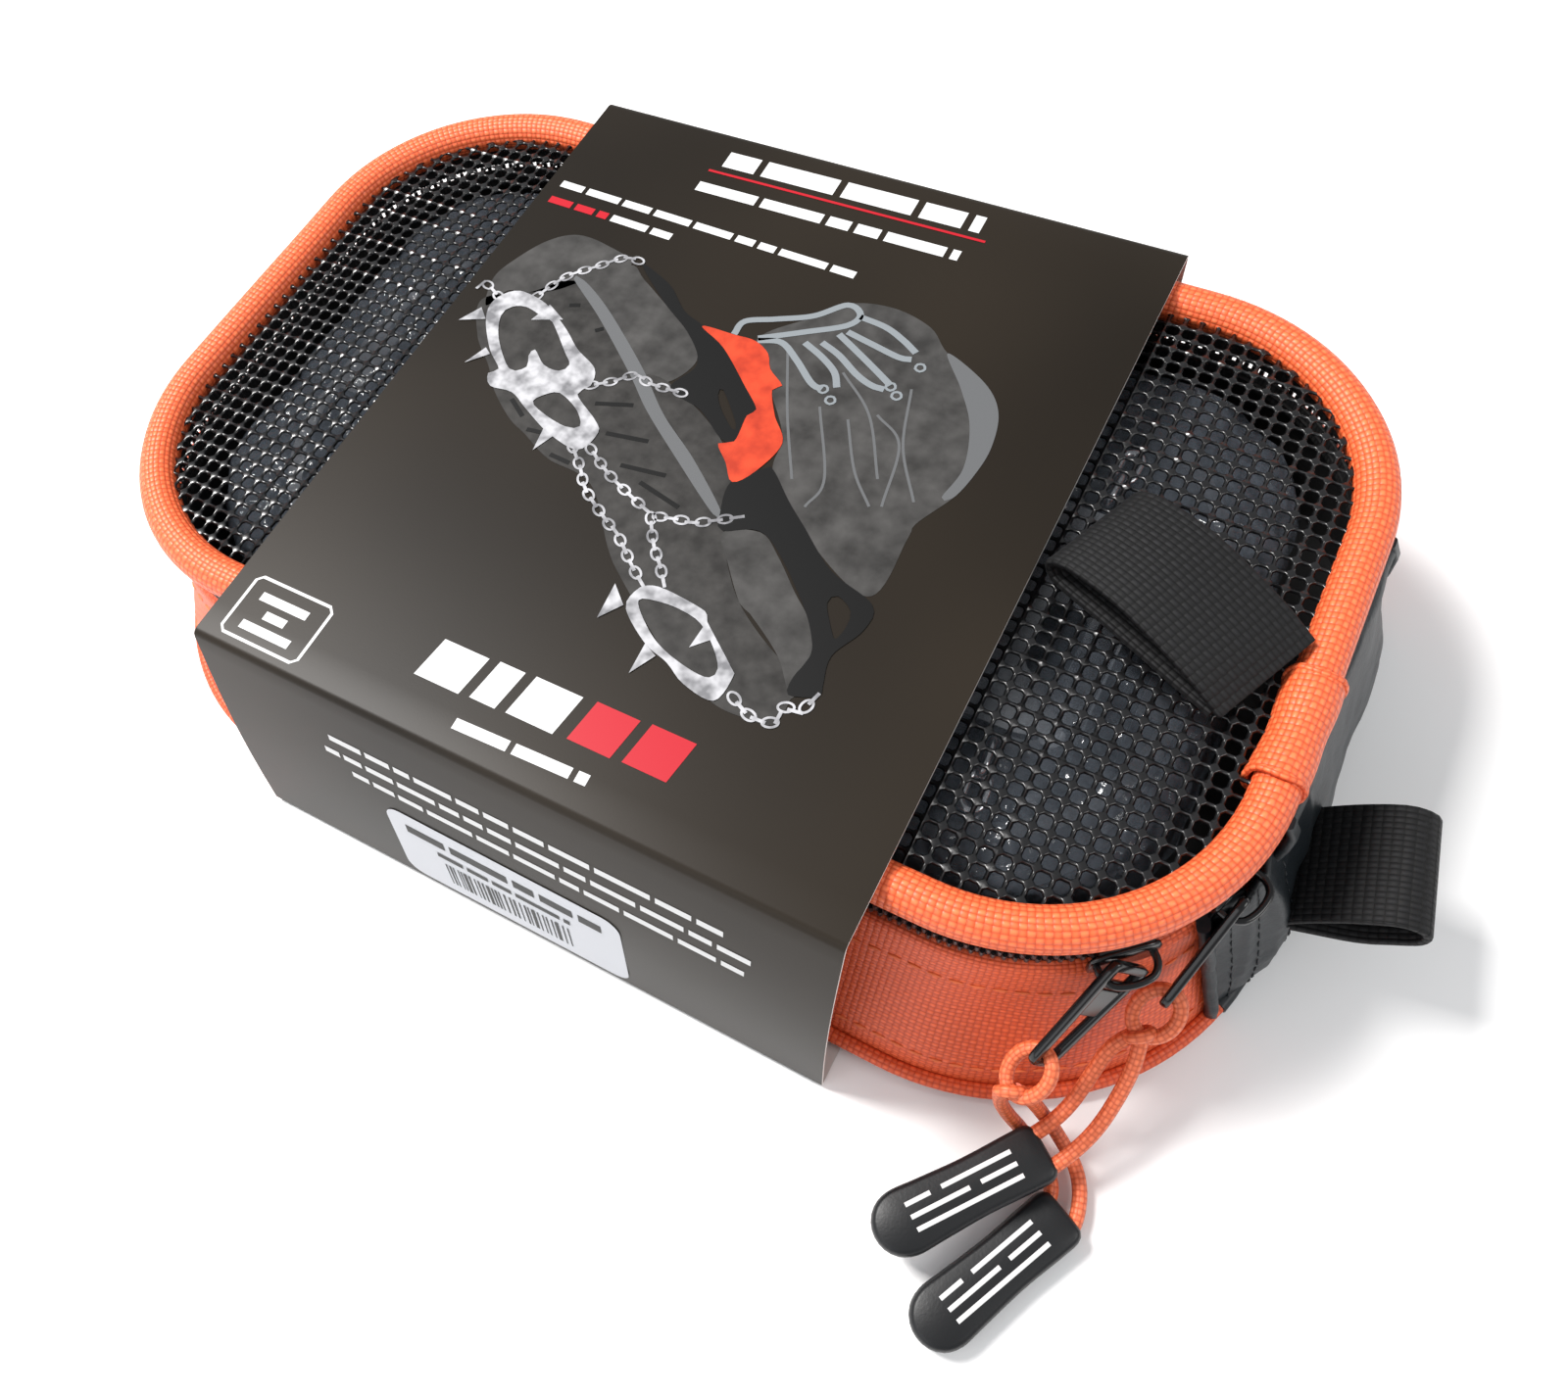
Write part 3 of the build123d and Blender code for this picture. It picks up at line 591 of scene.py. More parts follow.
def make_lid_mesh():
    pitch, half, cut = 2.9, 1.06, 0.66
    verts, index, faces = [], {}, []

    def vertex(x, y, crest, layer):
        key = (round(x * 50), round(y * 50), layer if crest else 0)
        if key not in index:
            index[key] = len(verts)
            dome = 1.3 * max(0, 1 - (x / 104) ** 2) * max(0, 1 - (y / 61) ** 2)
            wave = 0.9 * wrinkle((x, y, 0), 26, 7) * min(1, max(0, (100 - abs(x)) / 8))
            z = PIPING_Z + 0.2 + dome + wave + (0.36 * layer if crest else 0.0)
            verts.append((x + 0.12 * wrinkle((x, y, 9), 9), y + 0.12 * wrinkle((x, y, 4), 9), z))
        return index[key]

    edge = pitch / 2
    for i in range(-37, 38):
        for j in range(-22, 23):
            cx, cy = i * pitch, j * pitch
            dx, dy = max(0, abs(cx) - 68), max(0, abs(cy) - 24.5)
            if max(abs(cx) - 105.2, abs(cy) - 61.7) > 0 or math.hypot(dx, dy) > 37.0:
                continue
            hole = [(half, -cut), (half, cut), (cut, half), (-cut, half),
                    (-half, cut), (-half, -cut), (-cut, -half), (cut, -half)]
            rim = [(edge, -cut), (edge, cut), (cut, edge), (-cut, edge),
                   (-edge, cut), (-edge, -cut), (-cut, -edge), (cut, -edge)]
            corners = [None, (edge, edge), None, (-edge, edge), None, (-edge, -edge), None, (edge, -edge)]
            for layer in (1, -1):
                inner = [vertex(cx + x, cy + y, False, layer) for x, y in hole]
                outer = [vertex(cx + x, cy + y, True, layer) for x, y in rim]
                for k in range(8):
                    n = (k + 1) % 8
                    face = [inner[k], outer[k]]
                    if corners[k]:
                        face.append(vertex(cx + corners[k][0], cy + corners[k][1], True, layer))
                    face += [outer[n], inner[n]]
                    faces.append(tuple(face if layer == 1 else face[::-1]))
    piece = build("lid_mesh_strands", verts, faces, MESH, "lid")
    stands_for("lid_mesh")


# ---- webbing loops ------------------------------------------------------------------------
def make_loop(name, body, root, heading, raised, shape, node):
    turn, raised = math.radians(heading), math.radians(raised)
    level = math.cos(raised)
    ahead = Vector((math.cos(turn) * level, math.sin(turn) * level, math.sin(raised)))
    side = Vector((math.sin(turn), -math.cos(turn), 0))
    path = curve([Vector(root) + ahead * x + side.cross(ahead) * y for x, y in shape], 0.9)
    path = [p + Vector((0, 0, 0.25 * wrinkle(p, 12))) for p in path]
    parts = Parts()
    sweep(parts, path, box_section(20.5, 1.4, 0.5), across=side)
    piece = parts.done(name, WEBBING, body)
    stands_for(node)


# ---- sliders, pullers, cords, tabs ----------------------------------------------------------
def make_slider(number):
    angle = SLIDERS[number]
    out = (polar(1, angle) - CORNER).normalized()
    along = Vector((-out.y, out.x, 0))
    up = Vector((0, 0, 1))

    def at(radius, t, z):
        return CORNER + out * radius + along * t + up * z

    parts = Parts()
    shield = [(-5.5, -1.9), (-4.2, -3.2), (3.4, -3.5), (5.2, -2.6), (5.6, 0), (5.2, 2.6), (3.4, 3.5),
              (-4.2, 3.2), (-5.5, 1.9)]
    shield = [(p.x, p.y) for p in curve([(*q, 0) for q in shield], 0.9, closed=True)]
    for low, high in ((36.8, 37.6), (40.4, 41.3)):
        n = len(shield)
        ring = [[at(r, a * k, ZIP_Z + b * k) for a, b in shield]
                for r, k in ((low, 0.93), (low + 0.2, 1.0), (high - 0.2, 1.0), (high, 0.93))]
        verts = [p for row in ring for p in row]
        faces = [(i * n + j, i * n + (j + 1) % n, (i + 1) * n + (j + 1) % n, (i + 1) * n + j)
                 for i in range(3) for j in range(n)]
        parts.add(verts, faces + [tuple(range(n))[::-1], tuple(range(3 * n, 4 * n))])
    sweep(parts, [at(37.0, 2.4, ZIP_Z), at(41.0, 2.4, ZIP_Z)], box_section(2.4, 0.8, 0.3), up=up)
    for z in (-3.5, 3.5):
        sweep(parts, [at(39.9, t, ZIP_Z + z * (1 - abs(t) * 0.008)) for t in (-4.2, -2, 0, 2, 4.2)],
              box_section(1.5, 0.7, 0.3), up=up)
    bail = [(40.9, -4.4), (43.0, -4.3), (44.6, -3.2), (45.2, -1.2), (45.2, 1.2), (44.6, 3.2),
            (43.0, 4.3), (40.9, 4.4)]
    path = curve([at(r, t, ZIP_Z) for r, t in bail], 0.5)
    sweep(parts, path, box_section(1.15, 1.2, 0.4), up=up)
    piece = parts.done(f"slider_{number}_shell", ENAMEL, f"slider_{number}")
    stands_for(f"zip_slider_{number}")


def puller_axes(number):
    heading, tilt = PULLERS[number]
    ahead = Vector(heading).normalized()
    level = Vector((-ahead.y, ahead.x, 0)).normalized()
    upright = ahead.cross(level)
    turn = math.radians(tilt)
    across = upright * math.cos(turn) + level * math.sin(turn)
    return polar(42.75, SLIDERS[number], ZIP_Z), ahead, across, ahead.cross(across)


def make_puller(number):
    root, ahead, across, face = puller_axes(number)
    body = f"pull_{number}"

    def at(x, y, z=0.0):
        return root + ahead * x + across * y + face * z

    shape = [(0, -3.4), (0.4, -3.85), (2.5, -3.8), (11, -3.1), (18.6, -2.55), (19.7, -2.2), (20, -1.4),
             (20, 1.4), (19.7, 2.2), (18.6, 2.55), (11, 3.1), (2.5, 3.8), (0.4, 3.85), (0, 3.4)]
    parts = Parts()
    path = curve([at(x, y) for x, y in shape], 0.7, closed=True)
    sweep(parts, path, box_section(1.5, 1.7, 0.5), across=face, closed=True)
    for x, wide in ((3.4, 1.6), (7.2, 5.4)):
        sweep(parts, [at(x, -3.2), at(x, 3.2)], box_section(0.9, wide, 0.3), across=face)
    piece = parts.done(f"puller_{number}_wire", ENAMEL, body)
    stands_for(f"puller_{number}")
    # the hitch: a ring of cord through the puller's end, pulled tight where the tails leave
    ring = []
    for k in range(40):
        a = math.tau * k / 40
        ring.append(at(22.9 + 4.3 * math.cos(a), 0.45 * math.sin(a), 3.15 * math.sin(a)))
    parts = Parts()
    sweep(parts, ring, round_section(1.15, 14), closed=True)
    wrap = []
    for k in range(24):
        a = math.tau * k / 24
        wrap.append(at(27.3 + 1.3 * math.cos(a), 1.9 * math.sin(a), 1.2 * math.cos(a)))
    sweep(parts, wrap, round_section(1.0, 12), closed=True)
    hitch = parts.done(f"hitch_{number}", CORD, body)
    stands_for(f"cord_collar_{number}")


def make_cord(number):
    route = CORDS[number]
    data = bpy.data.curves.new(f"route_{number}", "CURVE")
    data.dimensions = "3D"
    data.resolution_u = 16
    line = data.splines.new("NURBS")
    line.points.add(len(route) - 1)
    for point, place in zip(line.points, route):
        point.co = (*(c / 1000.0 for c in place), 1)
    line.order_u = 3
    line.use_endpoint_u = True
    carrier = bpy.data.objects.new(f"route_{number}", data)
    bpy.context.collection.objects.link(carrier)
    bpy.context.view_layer.update()
    mesh = bpy.data.meshes.new_from_object(carrier.evaluated_get(bpy.context.evaluated_depsgraph_get()))
    points = [v.co * 1000.0 for v in mesh.vertices]
    bpy.data.objects.remove(carrier)
    bpy.data.meshes.remove(mesh)
    piece = tube(f"pull_cord_{number}_braid", points, 1.2, CORD, f"tab_{number}")
    stands_for(f"pull_cord_{number}")
    return piece, points


def make_tab(number):
    mouth, ahead, low = TABS[number]
    mouth, ahead = Vector((*mouth, 0)), Vector((*ahead, 0)).normalized()
    side = Vector((-ahead.y, ahead.x, 0))

    def at(x, y, z):
        return mouth + ahead * x + side * y + Vector((0, 0, low + z))

    half = [(0.0, 2.6), (0.35, 3.9), (1.6, 4.7), (5, 4.75), (13, 4.6), (21, 4.95), (26.0, 5.15), (28.9, 4.1),
            (30.5, 2.2), (31, 0.0)]
    shape = curve([(x, -y, 0) for x, y in half] + [(x, y, 0) for x, y in half[-2::-1]], 0.9, closed=True)
    rows = []
    for z, inset in ((0.0, 1.0), (0.25, 0.45), (0.9, 0.1), (2.2, 0), (3.5, 0.1), (4.15, 0.45), (4.4, 1.0)):
        row = []
        for k, p in enumerate(shape):
            d = shape[(k + 1) % len(shape)] - shape[k - 1]
            n = Vector((d.y, -d.x, 0)).normalized()
            q = p - n * inset
            row.append(at(q.x, q.y, z))
        rows.append(row)
    n = len(shape)
    verts = [p for row in rows for p in row]
    faces = [(i * n + j, i * n + (j + 1) % n, (i + 1) * n + (j + 1) % n, (i + 1) * n + j)
             for i in range(len(rows) - 1) for j in range(n)]
    faces += [tuple(range(n))[::-1], tuple(range((len(rows) - 1) * n, len(rows) * n))]
    parts = Parts()
    parts.add(verts, faces)
    bars = ((5.5, 24.5, 2.0), (5.5, 12.0, 0.0), (14.0, 24.5, 0.0), (5.5, 18.0, -2.0), (20.0, 24.5, -2.0))
    for start, end, y in bars:
        ends = [at(start, y, 4.42), at(end, y, 4.42)]
        sweep(parts, ends, box_section(0.75, 0.16, 0.07), up=(0, 0, 1), mark=1)
    piece = parts.done(f"tab_{number}_moulding", [RUBBER, INK_WHITE], f"tab_{number}")
    stands_for(f"pull_tab_{number}")
    return piece


# ---- the card sleeve and what is printed on it -----------------------------------------------
def front_point(x, h, lift):
    """A point on the sleeve's front face, h up the face from its foot."""
    foot, head = (Vector((0, *end)) for end in SLEEVE_FRONT)
    tall = (head - foot).length
    up = (head - foot) / tall
    bulge = 1.3 * math.sin(math.pi * min(1, max(0, h / tall))) * (1 + 0.35 * x / 60)
    return foot + up * h + Vector((x, -up.z * (bulge + lift), up.y * (bulge + lift)))


def top_point(x, y, lift):
    return Vector((x, y, SLEEVE_TOP + lift))


def sleeve_section(x):
    """The sleeve's outer line at x, anticlockwise from the foot of the front face."""
    tall = (Vector(SLEEVE_FRONT[1]) - Vector(SLEEVE_FRONT[0])).length
    points = [front_point(x, 1.2 + (tall - 2.4) * k / 16, 0) for k in range(17)]
    corners = [(-75.5, SLEEVE_TOP), (69.5, SLEEVE_TOP), (78.5, 0.0), (-86.0, 0.0)]
    ends = [(-74.3, SLEEVE_TOP), (70.1, SLEEVE_TOP - 1.1), (77.2, 0.0)]
    starts = [(68.3, SLEEVE_TOP), (78.2, 1.1), (-84.6, 0.0)]
    for k in range(3):
        a, b, c = points[-1], corners[k], ends[k]
        for t in (0.33, 0.67):
            y = (1 - t) ** 2 * a.y + 2 * t * (1 - t) * b[0] + t * t * c[0]
            z = (1 - t) ** 2 * a.z + 2 * t * (1 - t) * b[1] + t * t * c[1]
            points.append(Vector((x, y, z)))
        count = 24 if k != 1 else 12
        first, last = Vector((x, *c)), Vector((x, *starts[k]))
        points += [first.lerp(last, j / count) for j in range(count + 1)]
    return points + [Vector((x, -85.7, 0.35)), points[0]]


def make_sleeve():
    xs = [SLEEVE[0] + (SLEEVE[1] - SLEEVE[0]) * k / 30 for k in range(31)]
    outer = [sleeve_section(x) for x in xs]
    inner = []
    for row in outer:
        thin = []
        for k, p in enumerate(row):
            d = row[(k + 1) % (len(row) - 1)] - row[k - 1 if k else -2]
            thin.append(p + Vector((0, -d.z, d.y)).normalized() * -0.5)
        inner.append(thin)
    around = lengths(outer[0])
    parts = Parts()
    parts.rows(outer, [[(p.x, w) for p, w in zip(row, around)] for row in outer], 0)
    parts.rows(inner[::-1], [[(p.x, w) for p, w in zip(row, around)] for row in inner], 1)
    for k in (0, -1):
        pair = [outer[k], inner[k]]
        parts.rows(pair if k else pair[::-1], [[(w, 0) for w in around], [(w, 1) for w in around]], 2)
    piece = parts.done("sleeve_card", [CARD, BACKING, EDGE], "sleeve")
    stands_for("card_sleeve")


for look in (BOOT, BOOT_DARK, BOOT_LIGHT, LACE, PRINT_STEEL, PRINT_DARK, PRINT_RED, INK_WHITE, INK_RED):
    look.p.inputs["Specular IOR Level"].default_value = 0.22


class Print(Parts):
    """Flat printed shapes on one face of the sleeve."""

    def __init__(self, place):
        super().__init__()
        self.place, self.looks = place, []

    def mark(self, look):
        if look not in self.looks:
            self.looks.append(look)
        return self.looks.index(look)

    def area(self, look, lift, points, holes=(), round_off=True):
        loops = [[Vector((*p, 0)) for p in loop] for loop in (points, *holes)]
        if round_off:
            loops = [curve(loop, 1.0, closed=True) for loop in loops]
        flat = [p for loop in loops for p in loop]
        triangles = geometry.tessellate_polygon(loops)
        faces = []
        for t in triangles:
            a, b, c = (flat[i] for i in t)
            turn = (b.x - a.x) * (c.y - a.y) - (b.y - a.y) * (c.x - a.x)
            faces.append(tuple(t) if turn > 0 else tuple(t)[::-1])
        placed = [self.place(p.x, p.y, lift) for p in flat]
        self.add(placed, faces, [(p.x, p.y) for p in flat], self.mark(look))

    def stroke(self, look, lift, points, width, closed=False, round_off=True):
        path = [Vector((*p, 0)) for p in points]
        if round_off and len(path) > 2:
            path = curve(path, 0.6, closed=closed)
        if closed:
            path = path + [path[0]]
        verts = []
        last = len(path) - 1
        for i, p in enumerate(path):
            before = path[i - 1] if i else (path[last - 1] if closed else p)
            after = path[i + 1] if i < last else (path[1] if closed else p)
            d = (after - before).normalized()
            n = Vector((-d.y, d.x, 0)) * width / 2
            verts += [p - n, p + n]
        faces = [(2 * i, 2 * i + 2, 2 * i + 3, 2 * i + 1) for i in range(last)]
        placed = [self.place(p.x, p.y, lift) for p in verts]
        self.add(placed, faces, [(p.x, p.y) for p in verts], self.mark(look))

    def chain(self, lift, points, link=2.6):
        """Printed chain: links seen flat and on edge by turns."""
        path = curve([(*p, 0) for p in points], 0.3)
        run = lengths(path)
        count = max(2, round(run[-1] / (link * 0.72)))
        for k in range(count):
            middle = (k + 0.5) * run[-1] / count
            i = min(range(len(run)), key=lambda j: abs(run[j] - middle))
            d = (path[min(i + 1, len(path) - 1)] - path[max(i - 1, 0)]).normalized()
            n = Vector((-d.y, d.x, 0))
            if k % 2:
                a, b = path[i] - d * link / 2, path[i] + d * link / 2
                self.stroke(PRINT_STEEL, lift + 0.02, [a[:2], b[:2]], 0.6)
            else:
                ring = [path[i] + d * (link / 2 * math.cos(a)) + n * (0.85 * math.sin(a))
                        for a in [math.tau * j / 12 for j in range(12)]]
                self.stroke(PRINT_STEEL, lift, [p[:2] for p in ring], 0.42, closed=True)

    def words(self, look, lift, start, end, height, seed):
        """Bars standing for a line of print: broken like words, spelling nothing."""
        rng = random.Random(seed)
        a, b = Vector(start), Vector(end)
        d, full = (b - a).normalized(), (b - a).length
        n = Vector((-d.y, d.x)) * height
        at = 0.0
        while at < full - 1:
            wide = min(rng.uniform(2.6, 8.5) * height ** 0.5, full - at)
            p, q = a + d * at, a + d * (at + wide)
            self.area(look, lift, [p, q, q + n, p + n], round_off=False)
            at += wide + 0.75 * height ** 0.5


# Outlines of the printed picture, in millimetres on the card. The points were picked by hand in
# the photo and turned into millimetres by a separate program through the fitted camera.
SHAFT = [(-2.9, 20.8), (4.4, 30.1), (9.5, 35.8), (17.3, 37.6), (25.3, 35.7), (30.5, 31.2), (39.1, 27.3),
         (43.8, 22), (45.6, 14.2), (45.1, 7.1), (43.8, 2.1), (40.4, -5.1), (40.4, -8.4), (39.1, -21.3),
         (23.3, -13.6), (13.8, -5.1), (11.7, 2.7), (4.9, 11.4)]
COLLAR = [(30.5, 31.2), (39.1, 27.3), (43.8, 22), (45.6, 14.2), (45.1, 7.1), (43.8, 2.1), (42.1, 1.6),
          (43, 8.6), (40.4, 17.5), (35.9, 24.4)]
TOECAP = [(-58.9, 15.9), (-57.4, 22.1), (-53.9, 28.8), (-48.9, 32.4), (-41.7, 32), (-34.6, 29.2),
          (-41.8, 21.4), (-45.4, 17.6), (-50, 15.2), (-54.3, 14), (-56.2, 9)]
VAMP = [(-41.8, 21.4), (-35, 29), (-30.2, 26.6), (-21.1, 21.3), (-15.2, 17.4), (-10.8, 12.4), (-13.3, 5.8),
        (-19.2, 5.6), (-28.9, 13.5)]
MIDSOLE = [(-43.5, 21.7), (-41.2, 22), (-32.9, 17.2), (-19.6, 7.1), (-10.4, -1.1), (-0.5, -7.9),
           (9.4, -16), (8.3, -17), (-4.7, -8.1), (-13.8, -1.5), (-21, 4.8), (-33.4, 14.6)]
SOLE = [(-57.9, 10.1), (-53.5, 1.8), (-47.3, -3.8), (-42.7, -8.7), (-36.4, -13.2), (-31.9, -15.1),
        (-24.7, -18.3), (-14.6, -20.1), (-4.8, -30.6), (0.6, -35.1), (14.7, -44.9), (19.2, -47.1),
        (26.2, -49.3), (31.5, -49.3), (35.9, -48.4), (36.3, -43.3), (35.7, -37.7), (31, -37.3),
        (20.8, -31), (13.6, -22.7), (9.3, -16.9), (-10.4, -1.1), (-28.9, 13.5), (-42.2, 21.3), (-50, 15.2)]
HEEL_SIDE = [(11.6, -19.8), (17.6, -17.1), (22.4, -20.2), (28.1, -25.4), (32.2, -28.9), (35.3, -33.6),
             (35.7, -37.7), (36.3, -43.3), (31, -37.3), (23.3, -32.1), (20.8, -31), (15.6, -25.1)]
QUARTER = [(-13.3, 5.8), (0.7, -1.2), (8.2, -9.7), (9.6, -16.4), (-0.5, -7.9), (-10.4, -1.1), (-18.3, 4.8)]
HARNESS = [(-32.6, 30), (-28, 28.7), (-24, 26.7), (-18.8, 22.3), (-13.6, 20.3), (-7.7, 17), (-0.6, 11.1),
           (4.4, 7.3), (5, 5.4), (3.8, 4.4), (4.4, -1.7), (2, -2.1), (-4.7, 2.3), (-12.2, 4.6),
           (-10.3, 11.5), (-15.2, 17.4), (-24, 23.1)]
REAR_HARNESS = [(8, -9.8), (12.1, -4.8), (13.7, -4.6), (18.9, -9.3), (23.6, -13), (31.7, -19.2),
                (40.5, -22.4), (41.3, -27.3), (38.7, -33.7), (39.8, -39.1), (40, -41.1), (35.6, -42.8),
                (34.9, -39.8), (35.5, -36.5), (35.1, -33.2), (29.8, -26.4), (18.5, -17.2), (11.4, -19.4),
                (9.4, -16.4)]
REAR_HOLE = [(33.8, -25.1), (34.8, -23.2), (37.9, -24.9), (38.5, -27.8), (38, -30.6), (36.7, -29.5)]
HARNESS_SLOT = [(-3.3, 6.7), (-2.9, 8), (2.9, 1.9), (2.7, 0.7), (-1.2, 3.9)]
STRAP = [(-13.9, 20.2), (-7.3, 20.6), (-2.9, 20.7), (0.7, 18.8), (2.7, 15.7), (6.5, 13), (5.3, 11.4),
         (8.4, 6.3), (12.4, 1.3), (10.9, -6), (8.2, -9.7), (5.2, -6.4), (2, -3.2), (4.4, -1.7), (3.8, 4.4),
         (4.7, 6.3), (0.2, 10.4), (-7.7, 17)]
TOE_RING = [(-54.5, 12.7), (-51.7, 14.8), (-46.3, 14.2), (-42.2, 12.3), (-37.5, 9.4), (-33.1, 6.1),
            (-27.6, 3.2), (-26.2, -0.7), (-27.4, -3.4), (-21.3, -7.3), (-19.2, -9.7), (-20.7, -14.5),
            (-27.8, -13.3), (-34.5, -10.2), (-39.3, -7.8), (-44, -8.1), (-46.1, -5.6), (-44.8, -3.9),
            (-49, -0.5), (-53.7, 5.2), (-55.4, 9.3)]
TOE_HOLES = [
    [(-51, 10.5), (-48.2, 11.6), (-43.6, 10.5), (-41.4, 10.2), (-35.1, 4.6), (-32.6, 2.2), (-33.7, 0.1),
     (-37.2, 0.3), (-40.8, 2.9), (-41.1, 1), (-40, -1.4), (-42.8, -3.1), (-48.9, 2.5), (-51.8, 7.8)],
    [(-34.4, -8), (-31.8, -4.7), (-29.3, -4.8), (-25.3, -6.9), (-23.1, -9.7), (-25.6, -10.8), (-30.9, -9.8)],
]
HEEL_RING = [(5.2, -34.4), (8.6, -33.8), (16.4, -34.8), (17.7, -36.4), (25.1, -42.2), (26.3, -43.8),
             (25.5, -48.8), (19.7, -48.2), (15.3, -45.9), (10.4, -44.3), (4.2, -39.9), (3.8, -36.4)]
HEEL_HOLE = [(5.3, -37.6), (9.1, -36.3), (13.2, -36.3), (16.9, -37.2), (20.9, -40.3), (23.4, -43.4),
             (22.9, -45.4), (19.8, -45.5), (14.3, -44.2), (9.8, -41.9)]
SPIKES = [
    [(-59.2, 3.6), (-56.7, 8.2), (-54.2, 5.9)], [(-45.6, 9.1), (-44.2, 13.9), (-39.7, 11.5)],
    [(-51.9, -5.1), (-50.1, -0.3), (-48.4, -1.4)], [(-28.3, -17.8), (-29.1, -12.8), (-26.4, -13.3)],
    [(0.6, -43.4), (0, -36.3), (3.4, -39.4)], [(10.7, -50.2), (10.4, -44.3), (13.1, -45.6)],
    [(17.3, -41.9), (17.6, -36.9), (20.2, -38.8)],
]
CHAINS = [
    [(-48.2, 14), (-45.2, 21.3), (-40.7, 26.2), (-36.7, 30.2), (-32.9, 30.5)],
    [(-54.3, 11.6), (-59.4, 13.9), (-60.4, 12.2)],
    [(-26.9, -1), (-23, 1.8), (-19.6, 4.8), (-16, 4.1), (-8.9, 4.4)],
    [(-22.5, -13.7), (-18.3, -17.6), (-14.6, -21.6), (-7.6, -26), (-4.7, -27.5), (0.9, -32.1), (4.5, -34.7)],
    [(-19.3, -12.9), (-12.9, -16.8), (-7.1, -19.3), (-2.1, -21.2)],
    [(-1.6, -21.4), (1.9, -26.5), (5.3, -30.2), (7.8, -33.2)],
    [(-0.7, -21.5), (4.2, -20.3), (6.8, -19.7), (13.3, -15.5)],
    [(27.4, -46.6), (31.9, -48.7), (35.7, -48.1), (36.1, -45.1), (38.5, -44.7), (39.9, -40.8)],
]
LACES = [
    [(-7.4, 20.7), (-7, 24.3), (-2, 26.9), (4.3, 30.3), (9, 35.1), (12.2, 33.8), (11.1, 30.5), (4.5, 26.1),
     (-2.8, 21.5)],
    [(-2.6, 21), (1.7, 22.2), (6.1, 19.5), (11, 15.6), (13.4, 15)],
    [(5.7, 23.8), (10.2, 21.8), (13.8, 19.4), (15.7, 16.4)],
    [(8.6, 25), (12.8, 23.4), (17.6, 20.5), (21.1, 19.2), (23.6, 19.2)],
    [(10.6, 28), (16.4, 24.9), (20.9, 22.4), (24.2, 20.5)],
    [(11.8, 29.1), (17.4, 28), (22.9, 27), (25.2, 27.4)],
    [(12.4, 33.3), (17.8, 32.7), (22, 31), (25.3, 29.1)],
]
EYELETS = [(15.9, 13.3), (26.2, 18.7), (27.4, 26.2), (13.6, 15.1), (24.4, 20.2)]
SEAMS = [
    [(3.7, 20.8), (10.4, 7.3), (17.4, -5)], [(15.2, 20), (23.6, 12.9), (30.8, 0.8)],
    [(28, 21.1), (31.9, 8.8), (38.3, -1.2)], [(24.9, 13.5), (31.1, 8.9), (33.8, -4.2)],
    [(14.8, 11.3), (22.5, -2.8), (22, -9.4)], [(20.6, 10.6), (26.4, 0.9), (31.9, -5)],
]
LUGS = [
    [(-32.5, 11.5), (-31.2, 12.6)], [(-38.6, 16.1), (-40.6, 15.3)], [(-23.3, -3.9), (-16.5, -1.5)],
    [(-17.9, -9.1), (-9.8, -7.7)], [(-11.8, -14.3), (-3.2, -13.1)], [(-6.7, -16.2), (2.2, -18.2)],
    [(-38.5, -9.1), (-34.4, -11.8)], [(-32, -14.1), (-28.6, -13.6)], [(-24.9, -17.3), (-20.6, -17.6)],
]


